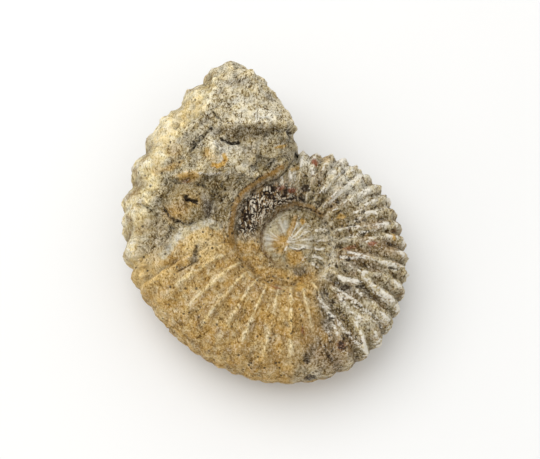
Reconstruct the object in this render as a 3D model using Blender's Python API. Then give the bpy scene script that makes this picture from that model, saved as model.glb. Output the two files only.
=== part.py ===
"""Ribbed ammonite fossil: one stone that lies on its side, with broken rock at the mouth of its shell.

The surface is one closed skin. It is a spiral strip of rings, wound out from the hub of the coil on
the upper and on the lower face, and the two faces meet along the rim. A ring that the next whorl
covers stops at that whorl's seam. The last whorl shrinks along the broken mouth, from its tip to
the notch where the mouth meets the whorl before it. The coil is worked out flat, in millimetres,
about its own axis, and is then tipped and lowered on to the flats that it rests on.
"""

import math

import bmesh
import bpy
from mathutils import Euler, Vector, noise

MM = 0.001
NAME = "ammonite_fossil"
COLOUR = (0.30, 0.245, 0.165, 1.0)
ROUGHNESS = 0.78

# Coil. Growth angles are in degrees, clockwise from the notch, which is where the last whorl starts.
START_BEARING = 84.0  # anticlockwise from +X
RIM_START = 23.95  # rim radius at growth angle 0
RIM_RATE = 0.1363  # the rim radius grows by exp(rate) in each radian
RIM_WAVES = ((1, 0.040, -6.0), (2, -0.0156, 6.5), (3, -0.0196, 0.0))  # waves in a turn, depth, bearing
SEAM_START = 9.4  # radius of a whorl's inner seam at growth angle 0
SEAM_RATE = 0.095
CREST_SHARE = 0.42  # where a whorl is thickest, from its seam at 0 to its rim at 1
THICKNESS_SHARE = 0.31  # half a whorl's thickness, over its rim radius
SECTION_POWER = 2.4  # 2 makes a whorl's section an ellipse, and more makes it squarer
EVENING = 0.07  # moves points from the ends of a section on to its flank
HUB_HEIGHT = 2.2  # of the filled hub, above the coil's middle plane
HUB_END = (-60.0, 0.0)  # growth angles over which the seam leaves the height of the hub
FIRST_RISE = (-360.0, -290.0)  # growth angles over which the first whorl rises out of the hub

# Mouth
TIP_GROWTH = 335.0  # where the break starts, at the far end of the rim
TIP_ARC = 14.0  # degrees over which the rim swells into the tip
BARE_ARC = 6.0  # degrees before the tip over which the ribs die out
TIP_LENGTH = 2.3
BREAK_CURVE = 1.8  # more makes the broken edge leave the tip more squarely
NOTCH_CURVE = 1.6  # more makes it meet the notch more squarely
SEAM_CURVE = 2.6  # more keeps the seam in the umbilicus for longer
BLUNT_SHARE = 0.4  # how far along the break the whorl keeps its full thickness

# Ribs. They come in threes: two start at the seam, and one of the two forks on the flank.
RIBS_PER_WHORL = 44
RIB_OFFSET = 1 / 3  # of a rib, past growth angle 0
RIB_HEIGHT = 0.75
RIB_WIDTH = 0.62  # from a crest to the foot of its rib, in ribs
RIB_SHARPNESS = 1.3
RIB_START = (0.08, 0.25)  # shares between which a rib rises out of the umbilicus
FORK = (0.45, 0.75)  # shares between which a rib forks
WORN_ARC = (130.0, 180.0)  # growth angles over which the ribs grow lower
WORN_HEIGHT = 0.6  # of the worn ribs, over their full height
EARLY_ARC = (-20.0, 0.0)  # growth angles over which the ribs of the first whorl grow to full height
EARLY_HEIGHT = 0.6
LEAN = 14.0  # degrees by which the ribs' outer ends lag behind, where they lean most
LEAN_ARC = (185.0, 255.0)
UPRIGHT_ARC = (268.0, 330.0)

# Knobs, one on each rib by the rim. They flatten along the last whorl and are stout by the mouth.
KNOB_HEIGHT = 0.5
KNOB_START = (0.66, 0.8)
FLAT_ARC = (120.0, 170.0)
FLAT_SHARE = 0.3
STOUT_ARC = (250.0, 275.0)
STOUT_SHARE = 1.9

# Broken rock, past the last whole rib. Places are (x, y) from the coil's axis.
SHELL_EDGE = (256.5, 259.5)  # growth angles of the edge where the shell ends
SHELL_STEP = 0.9
ROCK_START = (0.0, 0.12)  # shares between which the rock rises out of the seam
RIM_BAND = (0.78, 0.86)  # shares between which the rock gives way to the band of shell along the rim
NODULE = (-26.5, 7.7)
NODULE_RADII = (6.4, 5.4)
NODULE_HEIGHT = 3.4
BAY = (-36.0, 2.0)
BAY_RADII = (4.8, 8.0)
BAY_DEPTH = 2.6
LUMP = (-24.4, -4.0)
LUMP_RADII = (8.0, 6.0)
LUMP_HEIGHT = 1.2
OVAL_EDGE = (0.45, 1.15)  # the slopes of the bay and of the lump, over their radii
LEDGE_FACE = (24.7, 28.3)  # y of the foot and of the top of the high ledge's face
LEDGE_FADE = (-30.0, -14.0)  # x between which the high ledge rises out of the flank
LEDGE_HEIGHT = 2.6
LOW_LEDGE_FACE = (14.6, 15.6)
LOW_LEDGE_HEIGHT = 1.0
ROUGH_HEIGHT = 0.8
ROUGH_SIZE = 6.0

# Rest
TIP_OVER = (5.5, 0.1)  # degrees about X and Y
FLAT_DEPTH = 0.9  # how much the underside is worn off where it rests

# Mesh
WHORLS = 2
WIDE_STEPS = 120
CLOSE_STEPS = 24  # half as wide, round to the mouth
RINGS_PER_WHORL = WIDE_STEPS + CLOSE_STEPS
STEP = 360 / (WIDE_STEPS + CLOSE_STEPS / 2)
UPPER_ROWS = (2, 5, 14)  # faces across a ring of the hub, of the first whorl and of the last
LOWER_ROWS = (2, 2, 8)
UPPER, LOWER = 1, -1


def smooth(low, high, value):
    """0 below low, 1 above high, and an easy curve between them."""
    share = min(1.0, max(0.0, (value - low) / (high - low)))
    return share * share * (3 - 2 * share)


def mix(low, high, share):
    return low + (high - low) * share


def along_break(growth):
    """0 up to the tip of the mouth, and 1 at the notch."""
    return max(0.0, (growth - TIP_GROWTH) / (360 - TIP_GROWTH))


def whole_radius(growth):
    """Radius of the rim, before the mouth is broken off."""
    swelling = 1.0
    for waves, depth, bearing in RIM_WAVES:
        swelling += depth * math.cos(math.radians(waves * (START_BEARING - growth - bearing)))
    return RIM_START * math.exp(RIM_RATE * math.radians(growth)) * swelling


def rim_radius(growth):
    tip = TIP_LENGTH * smooth(TIP_GROWTH - TIP_ARC, TIP_GROWTH, growth)
    whole = whole_radius(min(growth, TIP_GROWTH)) + tip
    cut = 1 - (1 - along_break(growth) ** BREAK_CURVE) ** NOTCH_CURVE
    return mix(whole, whole_radius(growth - 360), cut)


def seam_radius(growth):
    whole = SEAM_START * math.exp(SEAM_RATE * math.radians(growth))
    return mix(whole, whole_radius(growth - 360), along_break(growth) ** SEAM_CURVE)


def crest_radius(growth):
    return mix(seam_radius(growth), rim_radius(growth), CREST_SHARE)


def whole_height(growth):
    """Half the thickness of a whorl, before the mouth is broken off."""
    return THICKNESS_SHARE * RIM_START * math.exp(RIM_RATE * math.radians(growth))


def seam_height(growth):
    """Height at which a whorl's seam lies on the outer flank of the whorl before it, or on the hub."""
    before = growth - 360
    crest = crest_radius(before)
    out = min(1.0, (seam_radius(growth) - crest) / (rim_radius(before) - crest))
    flank = whole_height(before) * (1 - out**SECTION_POWER) ** (1 / SECTION_POWER)
    return mix(HUB_HEIGHT, flank, smooth(*HUB_END, growth))


def crest_height(growth):
    closing = max(0.0, (along_break(growth) - BLUNT_SHARE) / (1 - BLUNT_SHARE))
    return mix(seam_height(growth), whole_height(growth), math.sqrt(1 - closing**2))


def edge_radius(growth):
    """Where a ring ends: at the rim, or at the seam of the whorl that covers it."""
    return rim_radius(growth) if growth >= 0 else seam_radius(growth + 360)


def hub_section(growth, share):
    """(radius, height) of a point on the filled hub, from the coil's axis to the seam that ends it."""
    edge = growth + 360
    return share * seam_radius(edge), mix(HUB_HEIGHT, seam_height(edge), share**2)


def whorl_section(growth, share):
    """(radius, height) of a point on a ring, from its seam at share 0 to where the ring ends at 1."""
    crest = crest_radius(growth)
    rim = rim_radius(growth)
    reach = ((edge_radius(growth) - crest) / (rim - crest)) ** (SECTION_POWER / 2)
    even_share = share + EVENING * math.sin(2 * math.pi * share)
    turn = even_share * (math.pi - math.acos(min(1.0, reach)))
    across = abs(math.cos(turn)) ** (2 / SECTION_POWER)
    up = abs(math.sin(turn)) ** (2 / SECTION_POWER)
    seam, low = (seam_radius(growth), seam_height(growth)) if turn < math.pi / 2 else (rim, 0.0)
    return mix(crest, seam, across), mix(low, crest_height(growth), up)


def section(growth, share):
    """The hub's section, then the whorl's, which rises out of the hub over part of a turn."""
    if growth < -360:
        return hub_section(growth, share)
    radius, height = whorl_section(growth, share)
    hub = hub_section(growth, min(1.0, radius / edge_radius(growth)))[1] if growth < 0 else height
    return radius, mix(hub, height, smooth(*FIRST_RISE, growth))


def lean(growth):
    return LEAN * smooth(*LEAN_ARC, growth) * (1 - smooth(*UPRIGHT_ARC, growth))


def skin_point(growth, share, side):
    """A point of the smooth skin, before the ribs and the broken rock are raised on it."""
    growth = growth - lean(growth) * share
    radius, height = section(growth, share)
    bearing = math.radians(START_BEARING - growth)
    return Vector((radius * math.cos(bearing), radius * math.sin(bearing), side * height))


def rib_relief(growth, share):
    """Height of the ribs, which are sharp crests with wide hollows between them, and of their knobs."""
    place = (growth * RIBS_PER_WHORL / 360 - RIB_OFFSET) % 3
    fork = smooth(*FORK, share) / 2
    away = min(abs(place - crest) for crest in (0, 1.5 - fork, 1.5 + fork, 3))
    crest = max(0.0, 1 - away / RIB_WIDTH) ** RIB_SHARPNESS * smooth(*RIB_START, share)
    knob = math.cos(math.pi * min(away, 0.5)) ** 2 * smooth(*KNOB_START, share)
    worn = mix(1, WORN_HEIGHT, smooth(*WORN_ARC, growth))
    flat = mix(1, FLAT_SHARE, smooth(*FLAT_ARC, growth))
    stout = mix(flat, STOUT_SHARE, smooth(*STOUT_ARC, growth))
    size = math.sqrt(whole_height(growth) / whole_height(0))
    if growth < 0:
        size *= mix(EARLY_HEIGHT, 1, smooth(*EARLY_ARC, growth)) * smooth(*FIRST_RISE, growth)
    return size * (worn * RIB_HEIGHT * crest + stout * KNOB_HEIGHT * knob)


def from_centre(place, centre, radii):
    """Distance from the middle of an oval, which is 1 on its edge."""
    return math.hypot((place.x - centre[0]) / radii[0], (place.y - centre[1]) / radii[1])


def rock_relief(place, share):
    """Height of the broken rock above the smooth skin. Only its roughness reaches the rim."""
    ledge = LEDGE_HEIGHT * smooth(*LEDGE_FACE, place.y) * smooth(*LEDGE_FADE, place.x)
    low_ledge = LOW_LEDGE_HEIGHT * (smooth(*LOW_LEDGE_FACE, place.y) - 1)
    nodule = NODULE_HEIGHT * math.sqrt(max(0, 1 - from_centre(place, NODULE, NODULE_RADII) ** 2))
    lump = LUMP_HEIGHT * (1 - smooth(*OVAL_EDGE, from_centre(place, LUMP, LUMP_RADII)))
    bay = BAY_DEPTH * (1 - smooth(*OVAL_EDGE, from_centre(place, BAY, BAY_RADII)))
    rough = ROUGH_HEIGHT * noise.noise(place / ROUGH_SIZE)
    forms = ledge + low_ledge + nodule + lump - bay - SHELL_STEP
    return rough + forms * (1 - smooth(*RIM_BAND, share))


def relief(growth, share, side, place):
    """How far the surface stands out from the smooth skin."""
    if growth < -360:
        return 0.0
    mouth = smooth(TIP_GROWTH - BARE_ARC, TIP_GROWTH, growth)
    ribs = rib_relief(growth, share) * (1 - mouth)
    if side == LOWER:
        return ribs
    broken = smooth(*SHELL_EDGE, growth) * (1 - smooth(*RIM_BAND, share))
    return mix(ribs, rock_relief(place, share), max(broken, mouth) * smooth(*ROCK_START, share))


def ring_growth(index):
    """Growth angle of a ring. Every whorl has rings at the same bearings."""
    whorl, step = divmod(index, RINGS_PER_WHORL)
    close = max(0, step - WIDE_STEPS)
    return 360 * (whorl - WHORLS) + STEP * (step - close / 2)


class Skin:
    """Vertices of the closed skin, with the growth angle, share and side of each, and its triangles."""

    def __init__(self):
        self.points = []
        self.spots = []
        self.faces = []

    def add(self, growth, share, side):
        self.points.append(skin_point(growth, share, side))
        self.spots.append((growth, share, side))
        return len(self.points) - 1

    def bridge(self, line, following, side):
        """Triangles between two lines of vertices, always across the shorter way."""
        near = 0
        far = 0
        while near < len(line) - 1 or far < len(following) - 1:
            near_step = math.inf
            far_step = math.inf
            if near < len(line) - 1:
                near_step = (self.points[line[near + 1]] - self.points[following[far]]).length
            if far < len(following) - 1:
                far_step = (self.points[line[near]] - self.points[following[far + 1]]).length
            if near_step <= far_step:
                face = (line[near], line[near + 1], following[far])
                near += 1
            else:
                face = (line[near], following[far + 1], following[far])
                far += 1
            if len(set(face)) == 3:
                self.faces.append(face[::-1] if side == UPPER else face)


def ring_shares(index, rows):
    """Shares of a ring's vertices. Beside the mouth, the first whorl has as many as the last."""
    whorl = index // RINGS_PER_WHORL
    beside_mouth = index >= WHORLS * RINGS_PER_WHORL - CLOSE_STEPS
    count = rows[WHORLS] if beside_mouth else rows[whorl]
    return [row / count for row in range(count + 1)]


def wind_side(skin, side, rows, rims):
    """The strip of one face of the coil, from the hub out to the shared vertices of the rim."""
    start = WHORLS * RINGS_PER_WHORL
    end = start + RINGS_PER_WHORL
    hub = skin.add(-360 * WHORLS, 0, side)
    lines = {end: [rims[0]]}
    for index in range(end - 1, -1, -1):
        growth = ring_growth(index)
        shares = ring_shares(index, rows)[:-1]
        if index < RINGS_PER_WHORL:
            shares = shares[1:]
        line = [skin.add(growth, share, side) for share in shares]
        edge = rims[index - start] if index >= start else lines[index + RINGS_PER_WHORL][0]
        lines[index] = line + [edge]
    for index in range(RINGS_PER_WHORL):
        lines[index].insert(0, hub)
    for index in range(end):
        following = lines[index + 1]
        if index == RINGS_PER_WHORL - 1:
            following = lines[0] + following[1:]
        skin.bridge(lines[index], following, side)


def wind_skin():
    skin = Skin()
    last = range(WHORLS * RINGS_PER_WHORL, (WHORLS + 1) * RINGS_PER_WHORL)
    rims = [skin.add(ring_growth(index), 1, UPPER) for index in last]
    wind_side(skin, UPPER, UPPER_ROWS, rims)
    wind_side(skin, LOWER, LOWER_ROWS, rims)
    return skin


def raised_points(skin):
    """The skin's points, moved along its normals to where the ribs and the rock bring them."""
    mesh = bpy.data.meshes.new("smooth skin")
    mesh.from_pydata(skin.points, [], skin.faces)
    normals = [vertex.normal.copy() for vertex in mesh.vertices]
    bpy.data.meshes.remove(mesh)
    return [
        point + normal * relief(*spot, point)
        for point, normal, spot in zip(skin.points, normals, skin.spots)
    ]


def rested_points(points):
    """The points tipped over, worn flat underneath and set down with the origin under their middle."""
    turn = Euler([math.radians(angle) for angle in TIP_OVER] + [0]).to_matrix()
    points = [turn @ point for point in points]
    floor = min(point.z for point in points) + FLAT_DEPTH
    middle_x = (min(p.x for p in points) + max(p.x for p in points)) / 2
    middle_y = (min(p.y for p in points) + max(p.y for p in points)) / 2
    return [Vector((p.x - middle_x, p.y - middle_y, max(p.z - floor, 0))) for p in points]


def stone_material():
    material = bpy.data.materials.new("fossil_stone")
    material.use_nodes = True
    shader = material.node_tree.nodes["Principled BSDF"]
    shader.inputs["Base Color"].default_value = COLOUR
    shader.inputs["Roughness"].default_value = ROUGHNESS
    return material


def main():
    for thing in list(bpy.data.objects):
        bpy.data.objects.remove(thing)
    skin = wind_skin()
    points = rested_points(raised_points(skin))
    mesh = bpy.data.meshes.new(NAME)
    mesh.from_pydata([point * MM for point in points], [], skin.faces)
    shape = bmesh.new()
    shape.from_mesh(mesh)
    bmesh.ops.recalc_face_normals(shape, faces=shape.faces)
    shape.to_mesh(mesh)
    shape.free()
    mesh.materials.append(stone_material())
    mesh.shade_smooth()
    fossil = bpy.data.objects.new(NAME, mesh)
    bpy.context.collection.objects.link(fossil)


if __name__ == "__main__":
    main()
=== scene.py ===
"""Ammonite fossil, weathered and set out for display.

The stone is one closed mesh, wound as a spiral strip of rings in millimetres about the axis of the coil. Its
ribs, broken rock and pits are raised on that smooth skin, and it is then tipped over and set down where the
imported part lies. Marks are placed by how they are seen from the display side, as (u, v) in millimetres from
the coil's axis.
"""

import math
from collections import namedtuple

import bpy
import numpy as np
from mathutils import Euler, Matrix, Vector, noise


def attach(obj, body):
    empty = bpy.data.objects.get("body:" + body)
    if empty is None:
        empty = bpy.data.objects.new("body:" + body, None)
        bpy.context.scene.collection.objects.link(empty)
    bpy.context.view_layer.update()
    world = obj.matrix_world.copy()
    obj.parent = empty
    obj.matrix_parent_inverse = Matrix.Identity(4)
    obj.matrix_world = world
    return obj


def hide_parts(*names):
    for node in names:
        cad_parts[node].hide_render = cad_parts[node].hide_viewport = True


bl_info = {
    "name": "Ammonite Fossil",
    "version": (1, 0, 0),
    "blender": (4, 5, 0),
    "location": "View3D > Sidebar > Fossil",
    "description": "Builds a weathered ammonite fossil and the stage that it lies on",
    "category": "Add Mesh",
}

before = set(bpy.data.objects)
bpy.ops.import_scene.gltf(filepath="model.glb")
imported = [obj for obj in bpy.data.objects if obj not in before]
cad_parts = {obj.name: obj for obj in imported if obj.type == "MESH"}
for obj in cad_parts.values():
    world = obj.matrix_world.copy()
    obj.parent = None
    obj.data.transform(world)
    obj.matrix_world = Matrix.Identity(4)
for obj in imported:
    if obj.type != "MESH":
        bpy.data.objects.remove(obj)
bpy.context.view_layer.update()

MM = 0.001
NODE = "ammonite_fossil"
BODY = "root"

# The coil, as the part has it. Arcs and growths are growth angles: degrees, clockwise from the notch.
START_BEARING = 84.0
RIM_START = 23.95
RIM_RATE = 0.1363
RIM_WAVES = ((1, 0.040, -6.0), (2, -0.0156, 6.5), (3, -0.0196, 0.0))
SEAM_START = 9.4
SEAM_RATE = 0.095
CREST_SHARE = 0.42
THICKNESS_SHARE = 0.31
SECTION_POWER = 2.4
EVENING = 0.07
HUB_HEIGHT = 2.2
HUB_END = (-60.0, 0.0)
FIRST_RISE = (-360.0, -290.0)
TIP_GROWTH = 335.0
TIP_ARC = 14.0
TIP_LENGTH = 2.3
BARE_ARC = 6.0
BREAK_CURVE = 1.8
NOTCH_CURVE = 1.6
SEAM_CURVE = 2.6
BLUNT_SHARE = 0.4
LEAN = 14.0
LEAN_ARC = (185.0, 255.0)
UPRIGHT_ARC = (268.0, 330.0)
TIP_OVER = (5.5, 0.1)
AXIS_PLACE = (7.200, -6.908, 13.732)  # of the coil's middle, in the row frame

# The mesh
WHORLS = 2
RINGS = 540  # in a turn
UPPER_ROWS = (26, 40, 78)  # faces across a ring of the hub, of the first whorl and of the last
LOWER_ROWS = (3, 6, 22)
OPEN_ARC = (-30.0, -12.0)  # beside the mouth, where the first whorl shows more of itself
OPEN_ROWS = 0.55  # of the last whorl's rows
CLOSING = (0.5, 1.0)  # shares of the break over which the last whorl narrows
CLOSED_ROWS = 0.1
LEAST_ROWS = 3
UPPER, LOWER = 1, -1

# How the stone is seen from the display side: the coil's axis leans back, and nearer points look larger.
SIGHT_RISE = 0.961
SIGHT_LIFT = 0.276
SIGHT_DEPTH = 0.0033


def smooth(low, high, value):
    """0 below low, 1 above high, and an easy curve between them."""
    share = np.clip((value - low) / (high - low), 0, 1)
    return share * share * (3 - 2 * share)


def mix(low, high, share):
    return low + (high - low) * share


def bell(away, width):
    return np.exp(-((away / width) ** 2))


# The smooth skin


def along_break(growth):
    """0 up to the tip of the mouth, and 1 at the notch."""
    return np.clip((growth - TIP_GROWTH) / (360 - TIP_GROWTH), 0, 1)


def whole_radius(growth):
    """Radius of the rim, before the mouth is broken off."""
    swelling = 1.0
    for waves, depth, bearing in RIM_WAVES:
        swelling = swelling + depth * np.cos(np.radians(waves * (START_BEARING - growth - bearing)))
    return RIM_START * np.exp(RIM_RATE * np.radians(growth)) * swelling


def rim_radius(growth):
    tip = TIP_LENGTH * smooth(TIP_GROWTH - TIP_ARC, TIP_GROWTH, growth)
    whole = whole_radius(np.minimum(growth, TIP_GROWTH)) + tip
    cut = 1 - (1 - along_break(growth) ** BREAK_CURVE) ** NOTCH_CURVE
    return mix(whole, whole_radius(growth - 360), cut)


def seam_radius(growth):
    whole = SEAM_START * np.exp(SEAM_RATE * np.radians(growth))
    return mix(whole, whole_radius(growth - 360), along_break(growth) ** SEAM_CURVE)


def crest_radius(growth):
    return mix(seam_radius(growth), rim_radius(growth), CREST_SHARE)


def whole_height(growth):
    """Half the thickness of a whorl, before the mouth is broken off."""
    return THICKNESS_SHARE * RIM_START * np.exp(RIM_RATE * np.radians(growth))


def seam_height(growth):
    """Height at which a whorl's seam lies on the outer flank of the whorl before it, or on the hub."""
    before = growth - 360
    crest = crest_radius(before)
    out = np.clip((seam_radius(growth) - crest) / (rim_radius(before) - crest), 0, 1)
    flank = whole_height(before) * (1 - out**SECTION_POWER) ** (1 / SECTION_POWER)
    return mix(HUB_HEIGHT, flank, smooth(*HUB_END, growth))


def crest_height(growth):
    closing = np.clip((along_break(growth) - BLUNT_SHARE) / (1 - BLUNT_SHARE), 0, 1)
    return mix(seam_height(growth), whole_height(growth), np.sqrt(1 - closing**2))


def edge_radius(growth):
    """Where a ring ends: at the rim, or at the seam of the whorl that covers it."""
    return np.where(growth >= 0, rim_radius(growth), seam_radius(growth + 360))


def hub_section(growth, share):
    """(radius, height) of points on the filled hub, from the coil's axis to the seam that ends it."""
    edge = growth + 360
    return share * seam_radius(edge), mix(HUB_HEIGHT, seam_height(edge), share**2)


def whorl_section(growth, share):
    """(radius, height) of points on a ring, from its seam at share 0 to where the ring ends at 1."""
    crest = crest_radius(growth)
    rim = rim_radius(growth)
    span = np.maximum(rim - crest, 1e-9)
    reach = np.clip((edge_radius(growth) - crest) / span, 0, 1) ** (SECTION_POWER / 2)
    turn = (share + EVENING * np.sin(2 * np.pi * share)) * (np.pi - np.arccos(reach))
    across = np.abs(np.cos(turn)) ** (2 / SECTION_POWER)
    up = np.abs(np.sin(turn)) ** (2 / SECTION_POWER)
    inner = turn < np.pi / 2
    end = np.where(inner, seam_radius(growth), rim)
    low = np.where(inner, seam_height(growth), 0)
    return mix(crest, end, across), mix(low, crest_height(growth), up)


def section(growth, share):
    """The hub's section, then the whorl's, which rises out of the hub over part of a turn."""
    radius, height = whorl_section(growth, share)
    within = np.clip(radius / edge_radius(growth), 0, 1)
    rising = mix(hub_section(growth, within)[1], height, smooth(*FIRST_RISE, growth))
    height = np.where(growth < 0, rising, height)
    hub_radius, hub_height = hub_section(growth, share)
    in_hub = growth < -360
    return np.where(in_hub, hub_radius, radius), np.where(in_hub, hub_height, height)


def skin_points(growth, share, side):
    """Points of the smooth skin, before anything is raised on it."""
    lean = LEAN * smooth(*LEAN_ARC, growth) * (1 - smooth(*UPRIGHT_ARC, growth))
    growth = growth - lean * share
    radius, height = section(growth, share)
    bearing = np.radians(START_BEARING - growth)
    return np.stack([radius * np.cos(bearing), radius * np.sin(bearing), side * height], axis=1)


class Strip:
    """Spots of the closed skin, each a growth, a share and a side, and the bands of faces between rings."""

    def __init__(self):
        self.spots = []
        self.bands = []

    def add(self, growth, share, side):
        self.spots.append((growth, share, side))
        return len(self.spots) - 1


def ring_growth(index):
    return index * 360 / RINGS - 360 * WHORLS


def ring_rows(growth, rows):
    """How many faces cross a ring. Beside the mouth the first whorl has more, and the last one fewer."""
    hub, first, last = rows
    if growth < -360:
        return hub
    if growth < 0:
        return round(mix(first, OPEN_ROWS * last, float(smooth(*OPEN_ARC, growth))))
    closing = float(smooth(*CLOSING, along_break(growth)))
    return max(LEAST_ROWS, round(last * mix(1, CLOSED_ROWS, closing)))


def wind_side(strip, side, rows, rims):
    """The strip of one face of the coil, from the hub out to the shared vertices of the rim."""
    start = WHORLS * RINGS
    end = start + RINGS
    hub = strip.add(-360 * WHORLS, 0, side)
    lines = {end: [rims[0]]}
    for index in range(end - 1, -1, -1):
        growth = ring_growth(index)
        count = ring_rows(growth, rows)
        first = 1 if index < RINGS else 0
        line = [strip.add(growth, row / count, side) for row in range(first, count)]
        lines[index] = line + [rims[index - start] if index >= start else lines[index + RINGS][0]]
    for index in range(RINGS):
        lines[index].insert(0, hub)
    for index in range(end):
        following = lines[index + 1]
        if index == RINGS - 1:
            following = lines[0] + following[1:]
        strip.bands.append((lines[index], following, side))


def wind_strip():
    strip = Strip()
    rims = [strip.add(index * 360 / RINGS, 1, UPPER) for index in range(RINGS)]
    wind_side(strip, UPPER, UPPER_ROWS, rims)
    wind_side(strip, LOWER, LOWER_ROWS, rims)
    return strip


def bridge(points, line, following, side):
    """Triangles between two lines of vertices, always across the shorter way."""
    faces = []
    near = 0
    far = 0
    while near < len(line) - 1 or far < len(following) - 1:
        near_step = math.inf
        far_step = math.inf
        if near < len(line) - 1:
            near_step = math.dist(points[line[near + 1]], points[following[far]])
        if far < len(following) - 1:
            far_step = math.dist(points[line[near]], points[following[far + 1]])
        if near_step <= far_step:
            face = (line[near], line[near + 1], following[far])
            near += 1
        else:
            face = (line[near], following[far + 1], following[far])
            far += 1
        if len(set(face)) == 3:
            faces.append(face[::-1] if side == UPPER else face)
    return faces


def skin_normals(points, faces):
    """Normals of the smooth skin at its vertices."""
    mesh = bpy.data.meshes.new("smooth_skin")
    mesh.from_pydata(points.tolist(), [], faces)
    normals = np.empty(len(points) * 3, np.float32)
    mesh.vertex_normals.foreach_get("vector", normals)
    bpy.data.meshes.remove(mesh)
    return normals.reshape(-1, 3).astype(float)


# Noise and marks. A noise is given as its size in millimetres, its seed and its octaves.

GRAIN_SHIFT = (31.7, 17.3, 5.1)  # how far each seed moves a noise
RIDGE_SHIFT = (11.3, 29.1, 3.7)
CHUNK_SHIFT = (13.9, 7.7, 3.3)
FRACTAL = (0.6, 2.1)  # how fast finer octaves fade, and how much finer each one is
RIDGED = (0.8, 2.1)
RIDGED_SHAPE = (1.0, 2.0)
RIDGED_MIDDLE = 1.18
TILT_SPREAD = 9.1  # keeps the tilts of neighbouring facets apart
LEVEL_SPREAD = 23.7
TILT_GAIN = 2.5
EDGE_U = ((0.5, 2.2, 41), (0.25, 0.9, 42))  # reach, size and seed of the noises that make edges ragged
EDGE_V = ((0.5, 2.2, 43), (0.25, 0.9, 44))


def seeded(step, seed):
    return Vector([seed * each for each in step])


def grain(places, size, seed, octaves=1):
    """Soft noise, mostly from -1 to 1, in lumps of about this size."""
    shift = seeded(GRAIN_SHIFT, seed)
    if octaves == 1:
        return np.array([noise.noise(Vector(place) / size + shift) for place in places])
    return np.array([noise.fractal(Vector(place) / size + shift, *FRACTAL, octaves) for place in places])


def wobble(places, noises):
    """How far a few noises move each place."""
    return sum(reach * grain(places, size, seed) for reach, size, seed in noises)


def ridges(places, size, seed, octaves=4):
    """Noise with sharp crests and broad hollows, mostly from -1 to 0.6."""
    shift = seeded(RIDGE_SHIFT, seed)
    crests = [
        noise.ridged_multi_fractal(Vector(place) / size + shift, *RIDGED, octaves, *RIDGED_SHAPE)
        for place in places
    ]
    return np.array(crests) - RIDGED_MIDDLE


def chunks(places, size, seed, slope, step, edge):
    """Height in millimetres of broken faces: facets that tilt their own ways, with steps between them."""
    shift = seeded(CHUNK_SHIFT, seed)
    levels = []
    for place in places:
        spot = Vector(place) / size + shift
        distances, centres = noise.voronoi(spot)
        for centre in centres[:2]:
            tilt = Vector([noise.noise(centre * TILT_SPREAD + shift * turn) for turn in (1, 2, 3)])
            level = step * noise.cell(centre * LEVEL_SPREAD) + TILT_GAIN * slope * tilt.dot(spot - centre)
            levels.append(level)
        levels.append(distances[1] - distances[0])
    own, other, gap = np.reshape(levels, (-1, 3)).T
    return size * mix(other, own, smooth(-edge, edge, gap))


def hollows(heights, faces, rounds):
    """How far each vertex lies below what is round it, out to about this many steps."""
    corners = np.array(faces)
    near = corners.ravel()
    far = corners[:, (1, 2, 0)].ravel()
    neighbours = np.bincount(near, minlength=len(heights))
    even = heights
    for _ in range(rounds):
        even = (even + np.bincount(near, even[far], len(heights)) / neighbours) / 2
    return even - heights


def sight(places):
    """Where places are seen from the display side, as arrays u and v."""
    nearer = 1 - SIGHT_DEPTH * places[:, 2]
    return places[:, 0] / nearer, (SIGHT_RISE * places[:, 1] + SIGHT_LIFT * places[:, 2]) / nearer


Oval = namedtuple("Oval", "u v radius_u radius_v turn soft", defaults=(15.0, 0.35))
Line = namedtuple("Line", "points width soft", defaults=(0.5,))
Area = namedtuple("Area", "corners soft", defaults=(0.5,))


def ovals(*rows):
    """Each row is a strength, then an oval's middle and radii, and maybe its turn in degrees and softness."""
    return tuple((strength, Oval(*numbers)) for strength, *numbers in rows)


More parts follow.
